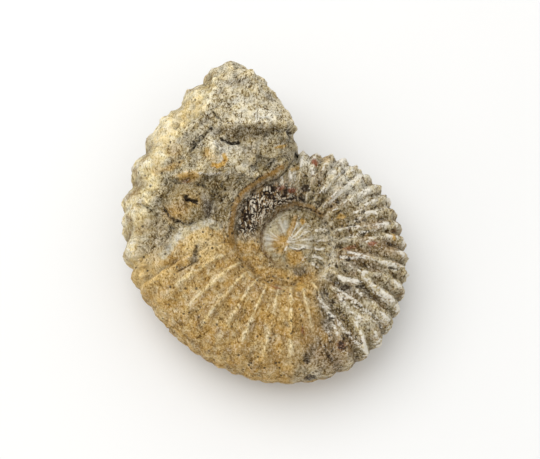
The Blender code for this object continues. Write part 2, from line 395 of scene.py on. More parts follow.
class Marks:
    """Finds how near each vertex of the display side is to a mark. Ragged marks have edges moved by noise."""

    def __init__(self, places, side):
        self.u, self.v = sight(places)
        self.ragged_u = self.u + wobble(places, EDGE_U)
        self.ragged_v = self.v + wobble(places, EDGE_V)
        self.shown = (side == UPPER).astype(float)

    def spots(self, ragged):
        return (self.ragged_u, self.ragged_v) if ragged else (self.u, self.v)

    def find(self, shape, ragged=True):
        finders = {Oval: self.oval, Line: self.line, Area: self.area}
        return finders[type(shape)](*shape, ragged)

    def highest(self, mask, shapes):
        """The mask, raised to the strength of each shape where that is higher."""
        for strength, shape in shapes:
            mask = np.maximum(mask, strength * self.find(shape))
        return mask

    def oval(self, middle_u, middle_v, radius_u, radius_v, turn=15.0, soft=0.35, ragged=True):
        """1 inside an oval, and 0 outside its edge."""
        u, v = self.spots(ragged)
        cosine, sine = math.cos(math.radians(turn)), math.sin(math.radians(turn))
        along = (u - middle_u) * cosine + (v - middle_v) * sine
        across = (v - middle_v) * cosine - (u - middle_u) * sine
        away = np.hypot(along / radius_u, across / radius_v)
        return self.shown * (1 - smooth(1 - soft, 1 + soft, away))

    def line(self, points, width, soft=0.5, ragged=False):
        """1 along a line of points, and 0 beyond its half width."""
        u, v = self.spots(ragged)
        away = np.full(len(u), np.inf)
        for (u0, v0), (u1, v1) in zip(points, points[1:]):
            du, dv = u1 - u0, v1 - v0
            share = np.clip(((u - u0) * du + (v - v0) * dv) / (du * du + dv * dv), 0, 1)
            away = np.minimum(away, np.hypot(u - u0 - share * du, v - v0 - share * dv))
        return self.shown * (1 - smooth(width * (1 - soft), width * (1 + soft), away))

    def area(self, corners, soft, ragged=True):
        """1 inside a closed outline, and 0 outside it."""
        u, v = self.spots(ragged)
        inside = np.zeros(len(u), bool)
        for (u0, v0), (u1, v1) in zip(corners, corners[1:] + corners[:1]):
            crossing = (v0 > v) != (v1 > v)
            rise = v1 - v0 if v1 != v0 else 1e-9
            inside ^= crossing & (u < (u1 - u0) * (v - v0) / rise + u0)
        near = self.line(corners + corners[:1], soft, 1.0, ragged)
        return self.shown * np.where(inside, 1 - near / 2, near / 2)


# What is raised on the skin. Starts, ends and fades along a ring are shares of it, and widths are in ribs.

RIBS_PER_WHORL = 44
RIB_OFFSET = 1 / 3
FORK = (0.45, 0.75)
LATE_FORK = 0.3
LATE_ARC = (125.0, 150.0)
WORN_ARC = (130.0, 180.0)
FRESH_ARC = (245.0, 275.0)  # where the worn ribs grow strong again

SWELL_WIDTH = 0.66
SWELL_START = (0.08, 0.25)
SWELL_WORN = (0.55, 0.2)  # what is left of it, on the flank and by the rim
SWELL_FADE = (0.7, 0.95)
RIDGE_WIDTHS = (0.15, 0.1)  # fresh and worn
RIDGE_START = (0.1, 0.3)
RIDGE_ROUGH = 0.9
RIDGE_WORN = 0.55
RIDGE_FADE = (0.6, 0.85)
RIDGE_FADES = 0.9
RIDGE_END = (0.82, 0.98)
RIDGE_ENDS = 0.8

KNOB_WIDTH = 0.5
KNOB_START = (0.66, 0.84)
STOUT_START = (0.86, 1.0)
STOUT_ARC = (245.0, 262.0)
FLAT_ARC = (110.0, 165.0)
FLAT_SHARE = 0.38
TALL_ARC = (248.0, 275.0)
TALL_SHARE = 1.5
KNOB_ROUGH = 0.3

EARLY_ARC = (-20.0, 0.0)  # where the first whorl's ribs come to their full height
EARLY_SHARE = 0.55
FAINT_START = (-235.0, -205.0)
FAINT_END = (-60.0, 0.0)
FAINT_SHARE = 0.15

RIM_BAND = (0.78, 0.86)
RIM_NARROWS = (268.0, 284.0)
RIM_GIVES = 0.09


def rim_share(growth, share):
    """The share that tells the rim from the rock. Beside the hollow the rim is narrower."""
    return share - RIM_GIVES * (1 - smooth(*RIM_NARROWS, growth))


def rib_crests(growth, share):
    """How far places are from the nearest rib's crest. Two of three ribs start at the seam, and one forks."""
    place = (growth * RIBS_PER_WHORL / 360 - RIB_OFFSET) % 3
    late = LATE_FORK * smooth(*LATE_ARC, growth)
    fork = smooth(FORK[0] + late, FORK[1] + late, share) / 2
    ribs = [np.abs(place), np.abs(place - 1.5 + fork), np.abs(place - 1.5 - fork), np.abs(place - 3)]
    return np.min(ribs, axis=0)


def rib_swell(growth, share, away, worn):
    left = mix(1, mix(*SWELL_WORN, smooth(*SWELL_FADE, share)), worn * (1 - smooth(*FRESH_ARC, growth)))
    return smooth(SWELL_WIDTH, 0, away) * smooth(*SWELL_START, share) * left


def rib_ridge(share, away, worn, rough):
    ridge = bell(away, mix(*RIDGE_WIDTHS, worn)) * smooth(*RIDGE_START, share)
    ridge *= mix(1 + RIDGE_ROUGH * rough, RIDGE_WORN, worn)
    ridge *= 1 - RIDGE_FADES * worn * smooth(*RIDGE_FADE, share)
    return ridge * (1 - RIDGE_ENDS * smooth(*RIDGE_END, share))


def rib_knob(growth, share, away, rough):
    stout = smooth(*STOUT_ARC, growth)
    start, full = (mix(early, late, stout) for early, late in zip(KNOB_START, STOUT_START))
    knob = np.maximum(0, 1 - (away / KNOB_WIDTH) ** 2) * smooth(start, full, share)
    flat = mix(1, FLAT_SHARE, smooth(*FLAT_ARC, growth))
    return knob * mix(flat, TALL_SHARE, smooth(*TALL_ARC, growth)) * (1 + KNOB_ROUGH * rough)


def rib_relief(growth, share, form, rough):
    """Height of the ribs: a swell with a thin ridge along its crest, and a knob by the rim."""
    away = rib_crests(growth, share)
    worn = smooth(*WORN_ARC, growth)
    height = form.rib_height * rib_swell(growth, share, away, worn)
    height += form.ridge_height * rib_ridge(share, away, worn, rough)
    height += form.knob_height * rib_knob(growth, share, away, rough)
    faint = smooth(*FAINT_START, growth) * (1 - smooth(*FAINT_END, growth))
    early = mix(EARLY_SHARE, 1, smooth(*EARLY_ARC, growth)) * mix(1, FAINT_SHARE, faint)
    size = np.sqrt(whole_height(growth) / whole_height(0 * growth))
    return height / MM * size * np.where(growth < 0, early * smooth(*FIRST_RISE, growth), 1)


# The broken rock, in millimetres about the coil's axis
ROCK_START = (0.0, 0.12)
ROCK_X = ((0.8, 4.0, 3), (0.35, 1.3, 4))
ROCK_Y = ((0.8, 4.0, 5), (0.35, 1.3, 6))
ROCK_WARP = (0.45, 2.6, (51, 52, 53), 2)  # reach, size, seeds and octaves
FACETS = (  # size, seed, slope, step and edge
    (8.5, 1, 0.2, 0.05, 0.16),
    (3.8, 2, 0.2, 0.06, 0.12),
    (1.9, 3, 0.13, 0.05, 0.14),
)
BURR = (2.2, 7)
BURR_HEIGHT = 0.12
NODULE = ((-26.8, 8.0), (7.2, 5.5), 3.7)  # middle, radii and height
NODULE_WARP = 0.9
STEEP_FADE = (-0.4, 0.6)
GENTLE, STEEP = (0.86, 1.4), (1.0, 0.8)  # how wide the dome is on each side, and how pointed
CREVICE = (1.03, 0.07, 0.3)  # place and width in the nodule's radii, and depth
CREVICE_FADE = (0.1, 0.8)
BAY = ((-35.0, 2.0), (5.2, 8.0), 1.3)
LUMP = ((-24.4, -4.0), (8.0, 6.0), 1.2)
OVAL_EDGE = (0.45, 1.15)
TOP_PLANE = ((-9.0, 34.0), (10.0, 7.0))
LEDGE_TOP = 28.2
LEDGE_FOOT = (-16.0, 24.2, 0.22)  # where it lies lowest, and how steeply it climbs to both sides
LEDGE_FADE = (-30.0, -14.0)
LEDGE_HEIGHT = 2.6
LOW_LEDGE_FACE = (14.6, 15.6)
LOW_LEDGE_HEIGHT = 1.0
SHELL_STEP = 0.9
CALM_PLACES = (  # how calm, middle and radii, and the edge in radii
    (1.0, NODULE[:2], (0.8, 1.0)),
    (1.0, LUMP[:2], (0.7, 1.2)),
    (0.7, TOP_PLANE, (0.7, 1.1)),
)
CALM_ARC = (264.0, 276.0)
CALM_RIM = (0.8, 0.97)
CALMED = 0.75
WORN_TOP = (10.0, 14.0)
WORN_TOP_DEPTH = 0.5


def from_centre(places, centre, radii):
    return np.hypot((places[:, 0] - centre[0]) / radii[0], (places[:, 1] - centre[1]) / radii[1])


def nodule_dome(places):
    """A lump that rises gently at its upper left, and stands over a narrow crevice at its lower left."""
    middle, radii, stand = NODULE
    away = from_centre(places, middle, radii)
    right = (places[:, 0] - middle[0]) / radii[0]
    down = (middle[1] - places[:, 1]) / radii[1]
    steep = smooth(*STEEP_FADE, 0.45 * right + 0.9 * down)
    wide, pointed = (mix(gentle, sharp, steep) for gentle, sharp in zip(GENTLE, STEEP))
    place, width, depth = CREVICE
    crevice = bell(away - place, width) * smooth(*CREVICE_FADE, 0.8 * down - 0.45 * right)
    return stand * np.maximum(0, 1 - (away * wide) ** 2) ** pointed - depth * crevice


def rock_forms(places):
    """Height of the large forms of the broken rock."""
    x = places[:, 0] + wobble(places, ROCK_X)
    y = places[:, 1] + wobble(places, ROCK_Y)
    warped = np.stack([x, y], axis=1)
    lowest_x, lowest_y, climb = LEDGE_FOOT
    foot = np.minimum(lowest_y + climb * np.abs(x - lowest_x), LEDGE_TOP - 1)
    ledge = LEDGE_HEIGHT * np.clip((y - foot) / (LEDGE_TOP - foot), 0, 1) * smooth(*LEDGE_FADE, x)
    low_ledge = LOW_LEDGE_HEIGHT * (smooth(*LOW_LEDGE_FACE, y) - 1)
    dome = nodule_dome(mix(places[:, :2], warped, NODULE_WARP))
    lump, bay = (
        height * (1 - smooth(*OVAL_EDGE, from_centre(warped, middle, radii)))
        for middle, radii, height in (LUMP, BAY)
    )
    return ledge + low_ledge + dome + lump - bay - SHELL_STEP


def rock_relief(places, growth, share):
    """Height of the broken rock above the smooth skin."""
    forms = rock_forms(places) * (1 - smooth(*RIM_BAND, rim_share(growth, share)))
    reach, size, seeds, octaves = ROCK_WARP
    warped = places + reach * np.stack([grain(places, size, seed, octaves) for seed in seeds], axis=1)
    rough = sum(chunks(warped, *facet) for facet in FACETS) + BURR_HEIGHT * ridges(warped, *BURR)
    calm = [how * (1 - smooth(*edge, from_centre(places, *oval))) for how, oval, edge in CALM_PLACES]
    calm = np.max([*calm, 1 - smooth(*CALM_ARC, growth), smooth(*CALM_RIM, share)], axis=0)
    return forms + rough * (1 - CALMED * calm) - WORN_TOP_DEPTH * smooth(*WORN_TOP, places[:, 2])


CRACKS = (  # points, half width, depth
    (((-28.1, 27.2), (-26.5, 29.2), (-24.6, 30.4), (-21.9, 32.9)), 0.3, 0.9),
    (((-19.4, 29.8), (-18.1, 29.0), (-16.5, 28.5), (-14.3, 28.6)), 0.3, 1.0),
    (((-21.9, 37.3), (-20.8, 35.9), (-19.4, 34.8)), 0.25, 0.5),
    # The next crack's darkening is painted shade in the crevice under the nodule's lower left.
    (((-34.6, 10.3), (-32.9, 7.8), (-29.2, 6.2)), 0.45, 0.3),
    (((-25.4, -0.2), (-25.9, -2.6)), 0.6, 0.35),
    (((-25.4, -4.0), (-27.5, -5.3), (-30.5, -6.8)), 0.3, 0.5),
    (((-16.9, 5.7), (-16.1, 11.3), (-13.4, 15.2), (-8.2, 19), (-3.1, 22.3), (0.3, 24)), 0.25, 0.45),
    (((1.4, 10.5), (4.6, 10), (8.1, 8.6)), 0.3, 0.6),
    (((3, -20.8), (3, -23.8)), 0.2, 0.4),
    (((26.2, -5.9), (28.6, -6.5)), 0.3, 0.6),
    (((-0.5, -0.2), (1.9, -1.7), (3.8, -0.9)), 0.2, 0.4),
)
RIDGES = (  # points, half width, height, how chalky
    (((10.8, 11.9), (15.1, 15.7), (19.4, 19.4)), 0.6, 0.4, 0.9),
    (((8.9, 14.5), (12.5, 18.5), (16, 21.5)), 0.5, 0.3, 0.8),
    (((12.4, -11.4), (18.4, -15.6), (24.6, -20.5)), 0.5, 0.5, 0.8),
    (((12.8, -12.6), (18.5, -17), (24, -21.6)), 0.4, 0.4, 0.7),
    (((7, -13.2), (9.5, -17), (14, -22), (18.9, -27.3)), 0.6, 0.5, 0.75),
    (((9.4, -22.7), (10.4, -25)), 0.7, 0.3, 0.6),
    (((13.4, -2.9), (19, -3.2), (24, -4.2), (30.6, -5.9)), 0.5, 0.4, 0.8),
    (((13, -8.5), (15.5, -9), (17.8, -9.6)), 0.75, 0.3, 0.95),
    (((19.2, -8.6), (22, -11.5), (25.4, -15.1)), 0.5, 0.4, 0.8),
    (((14.5, 1.5), (19, 3.6), (24, 4.8)), 0.5, 0.3, 0.7),
    (((15.5, 6.2), (21, 8.5), (26.5, 10.6)), 0.6, 0.3, 0.6),
)
RIDGE_SOFT = 0.8
HOLES = ovals(  # the first number is the depth
    (1.1, -28.3, 12.9, 0.9, 0.6, -40), (1, -26.9, 12.5, 1, 0.4, -12), (1, -25.9, 11.9, 0.7, 0.5, 30),
    (0.6, -28.6, 12, 0.4, 0.7, 0), (0.8, 3.2, 12.7, 0.9, 1.1, 0), (0.6, 14.6, 19.8, 0.7, 0.6, 0),
    (0.6, 15.1, 16.5, 0.8, 0.5, 0), (0.7, 12.9, -25.9, 0.9, 1.1, 0), (0.6, 13.9, -26.8, 0.9, 0.5, 20),
    (0.6, 5.1, -34.3, 1.5, 1.1, 0), (0.6, 4.1, -30, 1, 0.9, 0), (0.5, -32.1, -22.1, 0.8, 0.6, 30),
    (0.6, 18.4, -10.8, 1.5, 0.6, 10), (0.5, -6.5, -14.9, 0.5, 0.4, 0), (0.3, -21.6, -11.6, 0.8, 0.5, 20),
    (0.3, -14.9, -16.7, 0.6, 0.5, 0),
)
NEEDLES = Area((
    (-15.1, 2.4), (-14.9, 10.8), (-12.2, 14), (-7.6, 17.6), (-2.4, 18.1), (2.7, 15.4), (3.5, 11.3),
    (-1.2, 10.2), (-4.2, 8.9), (-6.8, 6.4), (-8.4, 3.4), (-9.8, 2.4),
), 0.9)
NEEDLE_CRESTS = (1.3, 16)
NEEDLE_HEIGHT = 0.32

ROUGH = (1.7, 11, 3)
SHELL_RAGGED = (3.0, 12)
SWELLS = (4.5, 13)
CRUST = (2.2, 14)
UNEVEN = (4.0, 15, 2)
CRUST_LEAVES = (105.0, 155.0)  # the arcs over which the crust of the shell leaves and comes back
CRUST_RETURNS = (262.0, 280.0)
UNEVEN_RIBS = 0.45
SHELL_EDGE = (256.5, 259.5)
SHELL_EDGE_REACH = 1.2
MOUTH_REACH = 2.0
BAND_REACH = 0.03
LIP_ARC = (240.0, 262.0)
LIP_CALM = 0.5
HUB_WEAR = 0.4
ROUGH_HEIGHT, SWELL_HEIGHT, CRUST_HEIGHT = 0.16, 0.12, 0.4


def relief(growth, share, side, places, form):
    """How far the surface stands out from the skin, in millimetres, and how much of it is broken rock."""
    coil = growth >= -360
    shell = 1 - smooth(*CRUST_LEAVES, growth) * (1 - smooth(*CRUST_RETURNS, growth))
    rough = grain(places, *ROUGH)
    uneven = 1 + UNEVEN_RIBS * shell * grain(places, *UNEVEN)
    ribs = rib_relief(growth, share, form, rough) * uneven * coil
    mouth = smooth(TIP_GROWTH - BARE_ARC, TIP_GROWTH, growth + MOUTH_REACH * rough)
    broken = smooth(*SHELL_EDGE, growth + SHELL_EDGE_REACH * grain(places, *SHELL_RAGGED))
    broken *= (1 - smooth(*RIM_BAND, rim_share(growth, share) + BAND_REACH * rough)) * (side == UPPER)
    rock = np.maximum(broken, mouth) * smooth(*ROCK_START, share) * coil
    height = ribs * (1 - mouth) * (1 - rock)
    stone = np.nonzero(rock > 0)[0]
    height[stone] += rock[stone] * rock_relief(places[stone], growth[stone], share[stone])
    crust = ridges(places, *CRUST) * np.clip(shell, 0, 1) * (1 - rock)
    crust *= 1 - LIP_CALM * smooth(*LIP_ARC, growth)
    wear = ROUGH_HEIGHT * rough + SWELL_HEIGHT * grain(places, *SWELLS) + CRUST_HEIGHT * crust
    height += form.wear * np.where(coil, 1, HUB_WEAR) * wear
    marks = Marks(places, side)
    height += NEEDLE_HEIGHT * marks.find(NEEDLES) * ridges(places, *NEEDLE_CRESTS)
    for points, width, depth in CRACKS:
        height -= depth * marks.line(points, width)
    for points, width, stand, _ in RIDGES:
        height += stand * marks.line(points, width, RIDGE_SOFT, True)
    for depth, hole in HOLES:
        height -= depth * marks.find(hole)
    return height, rock


# Stains

TAN_SHELL = Area((
    (10, -7.3), (7, -13.2), (8.4, -22.1), (3, -28.9), (0, -40.8), (-27, -40.8), (-50, -23), (-50, -4.6),
    (-41.9, -4.6), (-37.8, -3.5), (-34.3, -1.9), (-30.2, 2.4), (-22.4, 5.7), (-17.8, 4.6), (-14.6, 1.9),
    (-7.6, 2.4), (-5.9, -4.6), (0, -6.2), (4.1, -6.2),
), 1.2)
PALE_ROCK = Area((
    (-28.4, 34.3), (-20.2, 33.5), (-13.2, 34), (-4.6, 34), (0, 31.6), (10.8, 41.9), (2.7, 52.7),
    (-29.7, 52.7),
), 1.5)
LEDGE_SHADE = Area((
    (-20.5, 32.7), (-13.2, 33.6), (-3.6, 33.6), (-2.4, 32.2), (-6.6, 30.9), (-10.3, 29.5), (-14, 28.7),
    (-18.1, 29.5),
), 0.35)
OLIVE_FLAT = Area((
    (-29.4, 19.4), (-14.6, 19.2), (-15.9, 12.2), (-16.7, 5.1), (-23, 6.2), (-20.8, 11.6), (-22.7, 16.7),
), 0.8)
BAY_STAIN = Area((
    (-42.1, 7), (-37.8, 8.6), (-32.7, 6.2), (-33.5, 1.4), (-35.6, -3), (-40.5, -3.5), (-43.2, 1.4),
), 1.2)
WALL = Area((
    (8.6, 6.2), (10.8, 5.1), (12.4, 0), (11.9, -6.2), (9.2, -10), (7.6, -8.4), (9.2, -4.6), (9.7, 0.5),
), 0.4)
PALE_HUB = (
    (-7.2, 2.8), (-5.8, 5.6), (-3.2, 7.8), (-0.6, 9.0), (-0.8, 3.5), (-3, 2.2), (-4.3, -1.9), (-6.7, -0.9),
)
FAN = ((-0.6, 0.6), (1.4, 6.2), (4.2, 5.2), (5.9, 1.9), (5.2, -1.5))
FAN_MIDDLE = (-0.7, 0.6)
HUB_EDGE = ((-0.7, 9.7), (-4.0, 8.5), (-6.6, 5.9), (-7.9, 2.6), (-7.4, -1.6), (-4.4, -4.9))
HUB_STAINS = (
    ((-4.9, 2.4), (-3, 3), (-1.1, 2.2), (-0.8, 0.5), (-1.4, -1.4), (-2.4, -2.7), (-4.1, -1.9), (-5.1, 0)),
    ((-0.8, -1.6), (1.6, -1.1), (3.5, -1.9), (4.1, -3.5), (2.7, -5.1), (0.5, -5.7), (-0.8, -4.6)),
)
RIM_LINE = ((-36, 29), (-33, 32.5), (-29, 36.4), (-25.9, 38.9))
SEAM_LINE = Line(
    ((-15.7, 0.5), (-16.2, 4.6), (-15.2, 10.8), (-12.7, 14.9), (-7.6, 18.4), (-2.4, 21.4)), 0.75, 0.3
)
INNER_SEAM_LINE = Line(((-3.6, 9.9), (-1.5, 10.5), (1.3, 11.2), (5, 10.6), (8.6, 8.4)), 0.7)
CRESCENT = Line(((-18.4, 24.9), (-17.9, 23.6), (-18.7, 22.4), (-20.2, 21.8), (-21.3, 22.2)), 0.62, 0.3)
CHIP = Area(((-25.0, 0.4), (-27.6, -3.2), (-27.0, -4.9), (-24.9, -4.0)), 0.35)
BAY_RIM = Line(((-34.3, -2.7), (-30.8, 2.4), (-26.7, 4.9), (-22.4, 6.2), (-19.7, 5.1)), 1.1, 0.4)
TAN_EDGE = Line(((10.2, -8.2), (7.9, -13.5), (9.4, -22), (4.0, -28.8)), 0.9, 0.6)

ROCK_STAINS = (  # colour, then the strength and shape of each stain
    ("pale", ((0.9, PALE_ROCK),)),
    # Painted shade: olive and shadow are laid on the ledge's steep face, darker where it turns from the
    # light, and partly its own colour.
    ("olive", ((0.95, LEDGE_SHADE),)),
    ("shadow", ((0.45, LEDGE_SHADE),)),
    ("olive", ((0.95, OLIVE_FLAT),)),
    ("shadow", ovals(
        (0.6, -14.6, 45.9, 2.7, 1.4, 15, 0.6), (0.45, -5.9, 41.9, 1.9, 1.6, 15, 0.6),
        (0.6, -24.3, 35.9, 3.2, 2.2, 15, 0.6), (0.5, -20.8, 31, 1.9, 1.4, 15, 0.6),
        (0.55, -11.9, 25.6, 2.4, 1.9, 15, 0.6), (0.45, -1.9, 28.4, 2.2, 1.6, 15, 0.6),
        (0.45, -29.7, 29.2, 1.6, 1.9, 15, 0.6), (0.5, -37.8, 10.8, 1.9, 2.7, 15, 0.6),
    )),
    ("chalk", ovals(
        (0.4, -11.5, 37, 5.4, 2.7, -25, 0.7), (0.4, -17.5, 25.6, 4, 3, -25, 0.7),
        (0.5, -22.4, 28.8, 2.5, 1.9, -25, 0.7), (0.3, -5, 36, 2.7, 2.7, -25, 0.7),
        (0.4, -11, 20.8, 4.3, 1.1, -25, 0.7),
    )),
)
SHELL_STAINS = (
    ("sand", ovals((0.9, -24, 0.2, 5.2, 4.6, 10, 0.4), (0.7, -38.5, -6.5, 5, 4.5, 0, 0.6))),
    ("olive", ovals((1, -28.4, 12, 7, 5.6, 0, 0.15), (0.9, 16.4, 9, 5, 2.2, 25, 0.6))),
    ("tan", ovals(
        (0.8, -31.2, 9, 3, 2.2, 0, 0.6), (0.5, -26.8, 12.4, 3.2, 1.9, -15, 0.6),
        (0.5, -33, 27, 2, 3.2, 30, 0.6),
    )),
    ("brown", ovals(
        (0.5, -29.5, 10.8, 1.8, 1.5, 0, 0.6), (0.75, 9.5, -27, 6.5, 6.5, 0, 0.6),
        (0.7, 26, -0.6, 4, 2.2, -10, 0.6), (0.6, 17.5, -2.2, 5.5, 1.6, -5, 0.6),
        (0.6, 22.5, 5.9, 4.2, 0.9, 10, 0.6),
    )),
    ("shadow", ovals(
        # The first of these is painted shade down the nodule's right side, where its dome turns from the
        # light.
        (0.95, -22.8, 10.6, 1.4, 3.3, 15, 0.6), (0.6, 9.5, -17, 1.6, 5.5, 12, 0.6),
        (0.75, 17.6, -12.2, 5.5, 1.5, -20, 0.6), (0.5, 17.8, -5.4, 5, 1, -8, 0.6),
        (0.5, 20.5, 13.5, 2, 1.2, 30, 0.6), (0.5, 12, 21.5, 2.2, 1, 40, 0.6),
    )),
    ("chalk", ovals((0.6, 4.2, 23.4, 3, 1.8, -35, 0.6), (0.4, 16.8, 17.5, 8, 5.5, -40, 0.6))),
    ("shadow", ((0.85, CHIP),)),
    ("ash", ((0.9, BAY_RIM), (0.9, Area(PALE_HUB, 0.3)))),
    # Painted shadow: a brown line along the hub disc's left edge, partly the seam's own brown.
    ("brown", ((0.85, Line(HUB_EDGE, 0.4)),)),
    ("pale", ((0.6, Area(FAN, 0.5)),)),
    ("tan", (
        (1, Area(HUB_STAINS[0], 0.35)), (1, Area(HUB_STAINS[1], 0.35)),
        (0.9, Line(((1.6, 7.8), (0, 4.1), (-1.1, 0.3)), 0.6)),
    )),
    ("shadow", ovals((0.75, 2.7, -6.9, 2.2, 1.5))),
    ("pale", ((0.9, WALL),)),
    ("seam", ovals(
        (0.3, 5.2, -21.5, 3.4, 5.5, 0, 0.6), (0.4, -12.5, -26.5, 3, 1.6, 40, 0.7),
        (0.3, -3.5, -30, 4.5, 1.8, 0, 0.7),
    )),
    ("shadow", ((0.6, TAN_EDGE),)),
    ("ochre", ovals(
        (0.8, -28.2, 18.9, 2.8, 1.4, 0, 0.5), (0.8, -2.7, 27.5, 1.9, 0.5, 20), (0.8, 3.5, 6.5, 0.8, 0.8, 20),
        (0.4, 8.4, -23.8, 0.9, 1.4, 20, 0.6), (0.8, 13.7, 8, 1, 0.8, 20), (0.8, 28, 2.2, 0.7, 0.9, 20),
        (0.8, 2.7, -10.8, 1.3, 1, 20), (0.35, 10, 23.6, 1.2, 0.8, 20), (0.6, -8.2, 15.2, 1.6, 0.6, 40),
        (0.6, 1, 20.9, 1.6, 0.6, 20),
    )),
    ("cream", ((0.8, Line(RIM_LINE, 2.6, 0.7)),)),
    ("ochre", (
        (0.22, Line(RIM_LINE, 2.2, 0.7)), (0.5, Line(((-37.3, 20), (-33.8, 21.3), (-30.5, 22.7)), 0.8)),
    )),
    ("sand", ovals((0.8, -21.4, 24, 1.6, 1.2, 0, 0.5))),
    ("ochre", ovals((0.5, -23.4, 25.4, 1, 1.3, 0, 0.5))),
    ("rust", ovals(
        (0.8, 21.9, 0.5, 1.4, 0.7, 10), (0.9, 6.6, 22.8, 1, 0.9, 10), (0.9, 0.5, 14.9, 1.3, 0.8, 10),
        (0.9, -2.7, 15.6, 1.4, 0.5, 10), (0.6, -4.1, -11.1, 1.4, 0.35, -15), (0.5, 16, -0.6, 2, 0.5, 10),
        (0.6, 3, -22.1, 0.35, 1.2, 10), (0.6, 13, -26.1, 1.1, 1.2, 10), (0.5, -28.6, 17.6, 1.2, 0.4, 10),
        (0.4, 27.8, 3.9, 1.2, 0.4, 10),
    )),
)
CHALK_AND_HIGHLIGHT_MARKS = (
    (0.6, Line(((2.2, 7.8), (4.9, 4.9), (5.9, 1.6), (5.4, -1.9), (2.9, -4.8)), 0.35, 0.8)),
    (1.2, Line(((0.1, -0.4), (1.9, -1.1), (3.7, -0.3)), 0.32, 0.7)),
    *((0.8, Line((FAN_MIDDLE, end), 0.22, 0.9)) for end in ((1.9, 6.2), (3.4, 5.2), (4.8, 3.6), (5.5, 1.7))),
    (0.8, Line(((-0.9, -0.2), (-1.5, -1.6)), 0.26, 0.8)),
    (0.85, Line(((6.8, 3.8), (9.1, 4.4)), 0.42, 0.7)),
    (0.85, Line(((6.9, 1.2), (9.2, 1.3)), 0.42, 0.7)),
    (0.95, Line(((6.8, -0.8), (9.0, -1.0)), 0.42, 0.7)),
    (0.95, Line(((6.4, -2.9), (8.5, -3.5)), 0.42, 0.7)),
    (0.8, Line(((5.6, -4.7), (7.4, -5.9)), 0.42, 0.7)),
    # Painted highlights: chalk along the lit top edges of the high ledge and the low ledge.
    (0.65, Line(((-20.5, 33.6), (-13.2, 34.4), (-4.6, 34.4)), 0.4, 0.7)),
    (0.65, Line(((-30, 20.2), (-23, 19.7), (-14.6, 19.7)), 0.6, 0.7)),
    (0.7, Line(((1.0, 20.6), (0.9, 17.2)), 0.5, 0.8)),
    (0.6, Line(((-3.2, 19.4), (-3.4, 16.9)), 0.45, 0.8)),
    (0.5, WALL),
    *ovals((0.55, 4.4, 23.2, 2.4, 1.5, -35, 0.6)),
)
DARK_SPOTS = ovals(
    # The first spot is painted shade down the nodule's right side.
    (0.6, -22.7, 10.3, 0.8, 2.5, 15, 0.6), (0.95, -10.8, 5.7, 2.6, 1.8, 35, 0.5),
    (0.9, -5.2, 11.9, 3.6, 1.5, 25, 0.5), (0.9, -11.5, 9.2, 1.6, 1, 60, 0.5),
    (0.95, 4.3, 15.7, 1.5, 1.4, 0, 0.5), (0.8, 7.3, 11.6, 1.1, 0.8, 0, 0.5),
    (0.8, 14.9, 16.4, 1.1, 0.5, 40, 0.5), (0.75, 19.5, 9.2, 1.5, 0.5, 25, 0.5),
    (0.75, 16.5, 5.2, 1.9, 0.45, 15, 0.5), (0.7, 25, 7.2, 1.4, 0.45, 15, 0.5),
    (0.75, 12.4, -0.6, 1.2, 0.6, 0, 0.5), (0.75, 26.5, 0.2, 1.8, 0.6, -10, 0.5),
    (0.7, 14.6, -10.8, 1.8, 0.6, -20, 0.5), (0.7, 22, -13.9, 1.9, 0.5, -35, 0.5),
    (0.7, 10.4, -18.6, 0.7, 1.8, 20, 0.5), (0.7, 13.6, -24.2, 1.4, 0.7, -40, 0.5),
)
CLEAN_PATCH = Oval(9, -30, 8, 8, 0, 0.5)  # where less chalk clings
HUB_OVAL = Oval(0, 0, 6.4, 7.2, 0, 0.15)
NODULE_OVAL = Oval(-28.4, 12, 7, 5.6, 0, 0.15)

MOTTLE = (3.5, 21, 2)
PATCHES = {  # size, seed and octaves of a noise, and where in it a patch starts and is full
    "tan brown": (2.6, 22, 3, 0.05, 0.5),
    "tan sand": (5.0, 26, 2, 0.0, 0.5),
    "tan cream": (1.8, 23, 3, 0.15, 0.6),
    "olive": (3.0, 24, 3, 0.0, 0.5),
    "rim tan": (3.0, 25, 3, 0.0, 0.5),
    "rib pale": (3.2, 35, 3, -0.35, 0.35),
    "rib brown": (3.4, 36, 3, 0.05, 0.45),
    "worn": (3.0, 34, 2, -0.6, 0.0),
    "chalk": (2.8, 31, 3, -0.15, 0.4),
    "blots": (1.9, 32, 2, -0.1, 0.4),
}
BAND_GRAIN = (1.6, 33, 2)
BAND_EDGE = (0.12, 0.55)
PALE_MOTTLE = (-0.5, 0.8)
TAN_COMES = (122.0, 150.0)  # the arcs over which the underside's shell turns tan, and grey again
TAN_GOES = (255.0, 285.0)
RIM_EDGE = (0.72, 0.80)
RIM_COMES = (250.0, 262.0)
RIM_GOES = (325.0, 336.0)
WORN_LINE = ((0.06, 0.15), (0.68, 0.85))  # where the tan shell's pale lines start and end
BESIDE = ((0.1, 0.25), (0.3, 0.7))
TAN_LINE_WIDTH = 0.15
CHALK_WIDTHS = (0.1, 0.27)  # of the lines on the tan shell and on the grey
CHALK_START = -20.0
CHALK_RIM = (0.8, 0.95)
TROUGH = (0.22, 0.55)
DEEP_STEPS, FINE_STEPS = 40, 4
SHADE_LIMITS = (0.5, 1.3)
RARE_COLOURS = ("rust", "ochre", "seam", "ash")


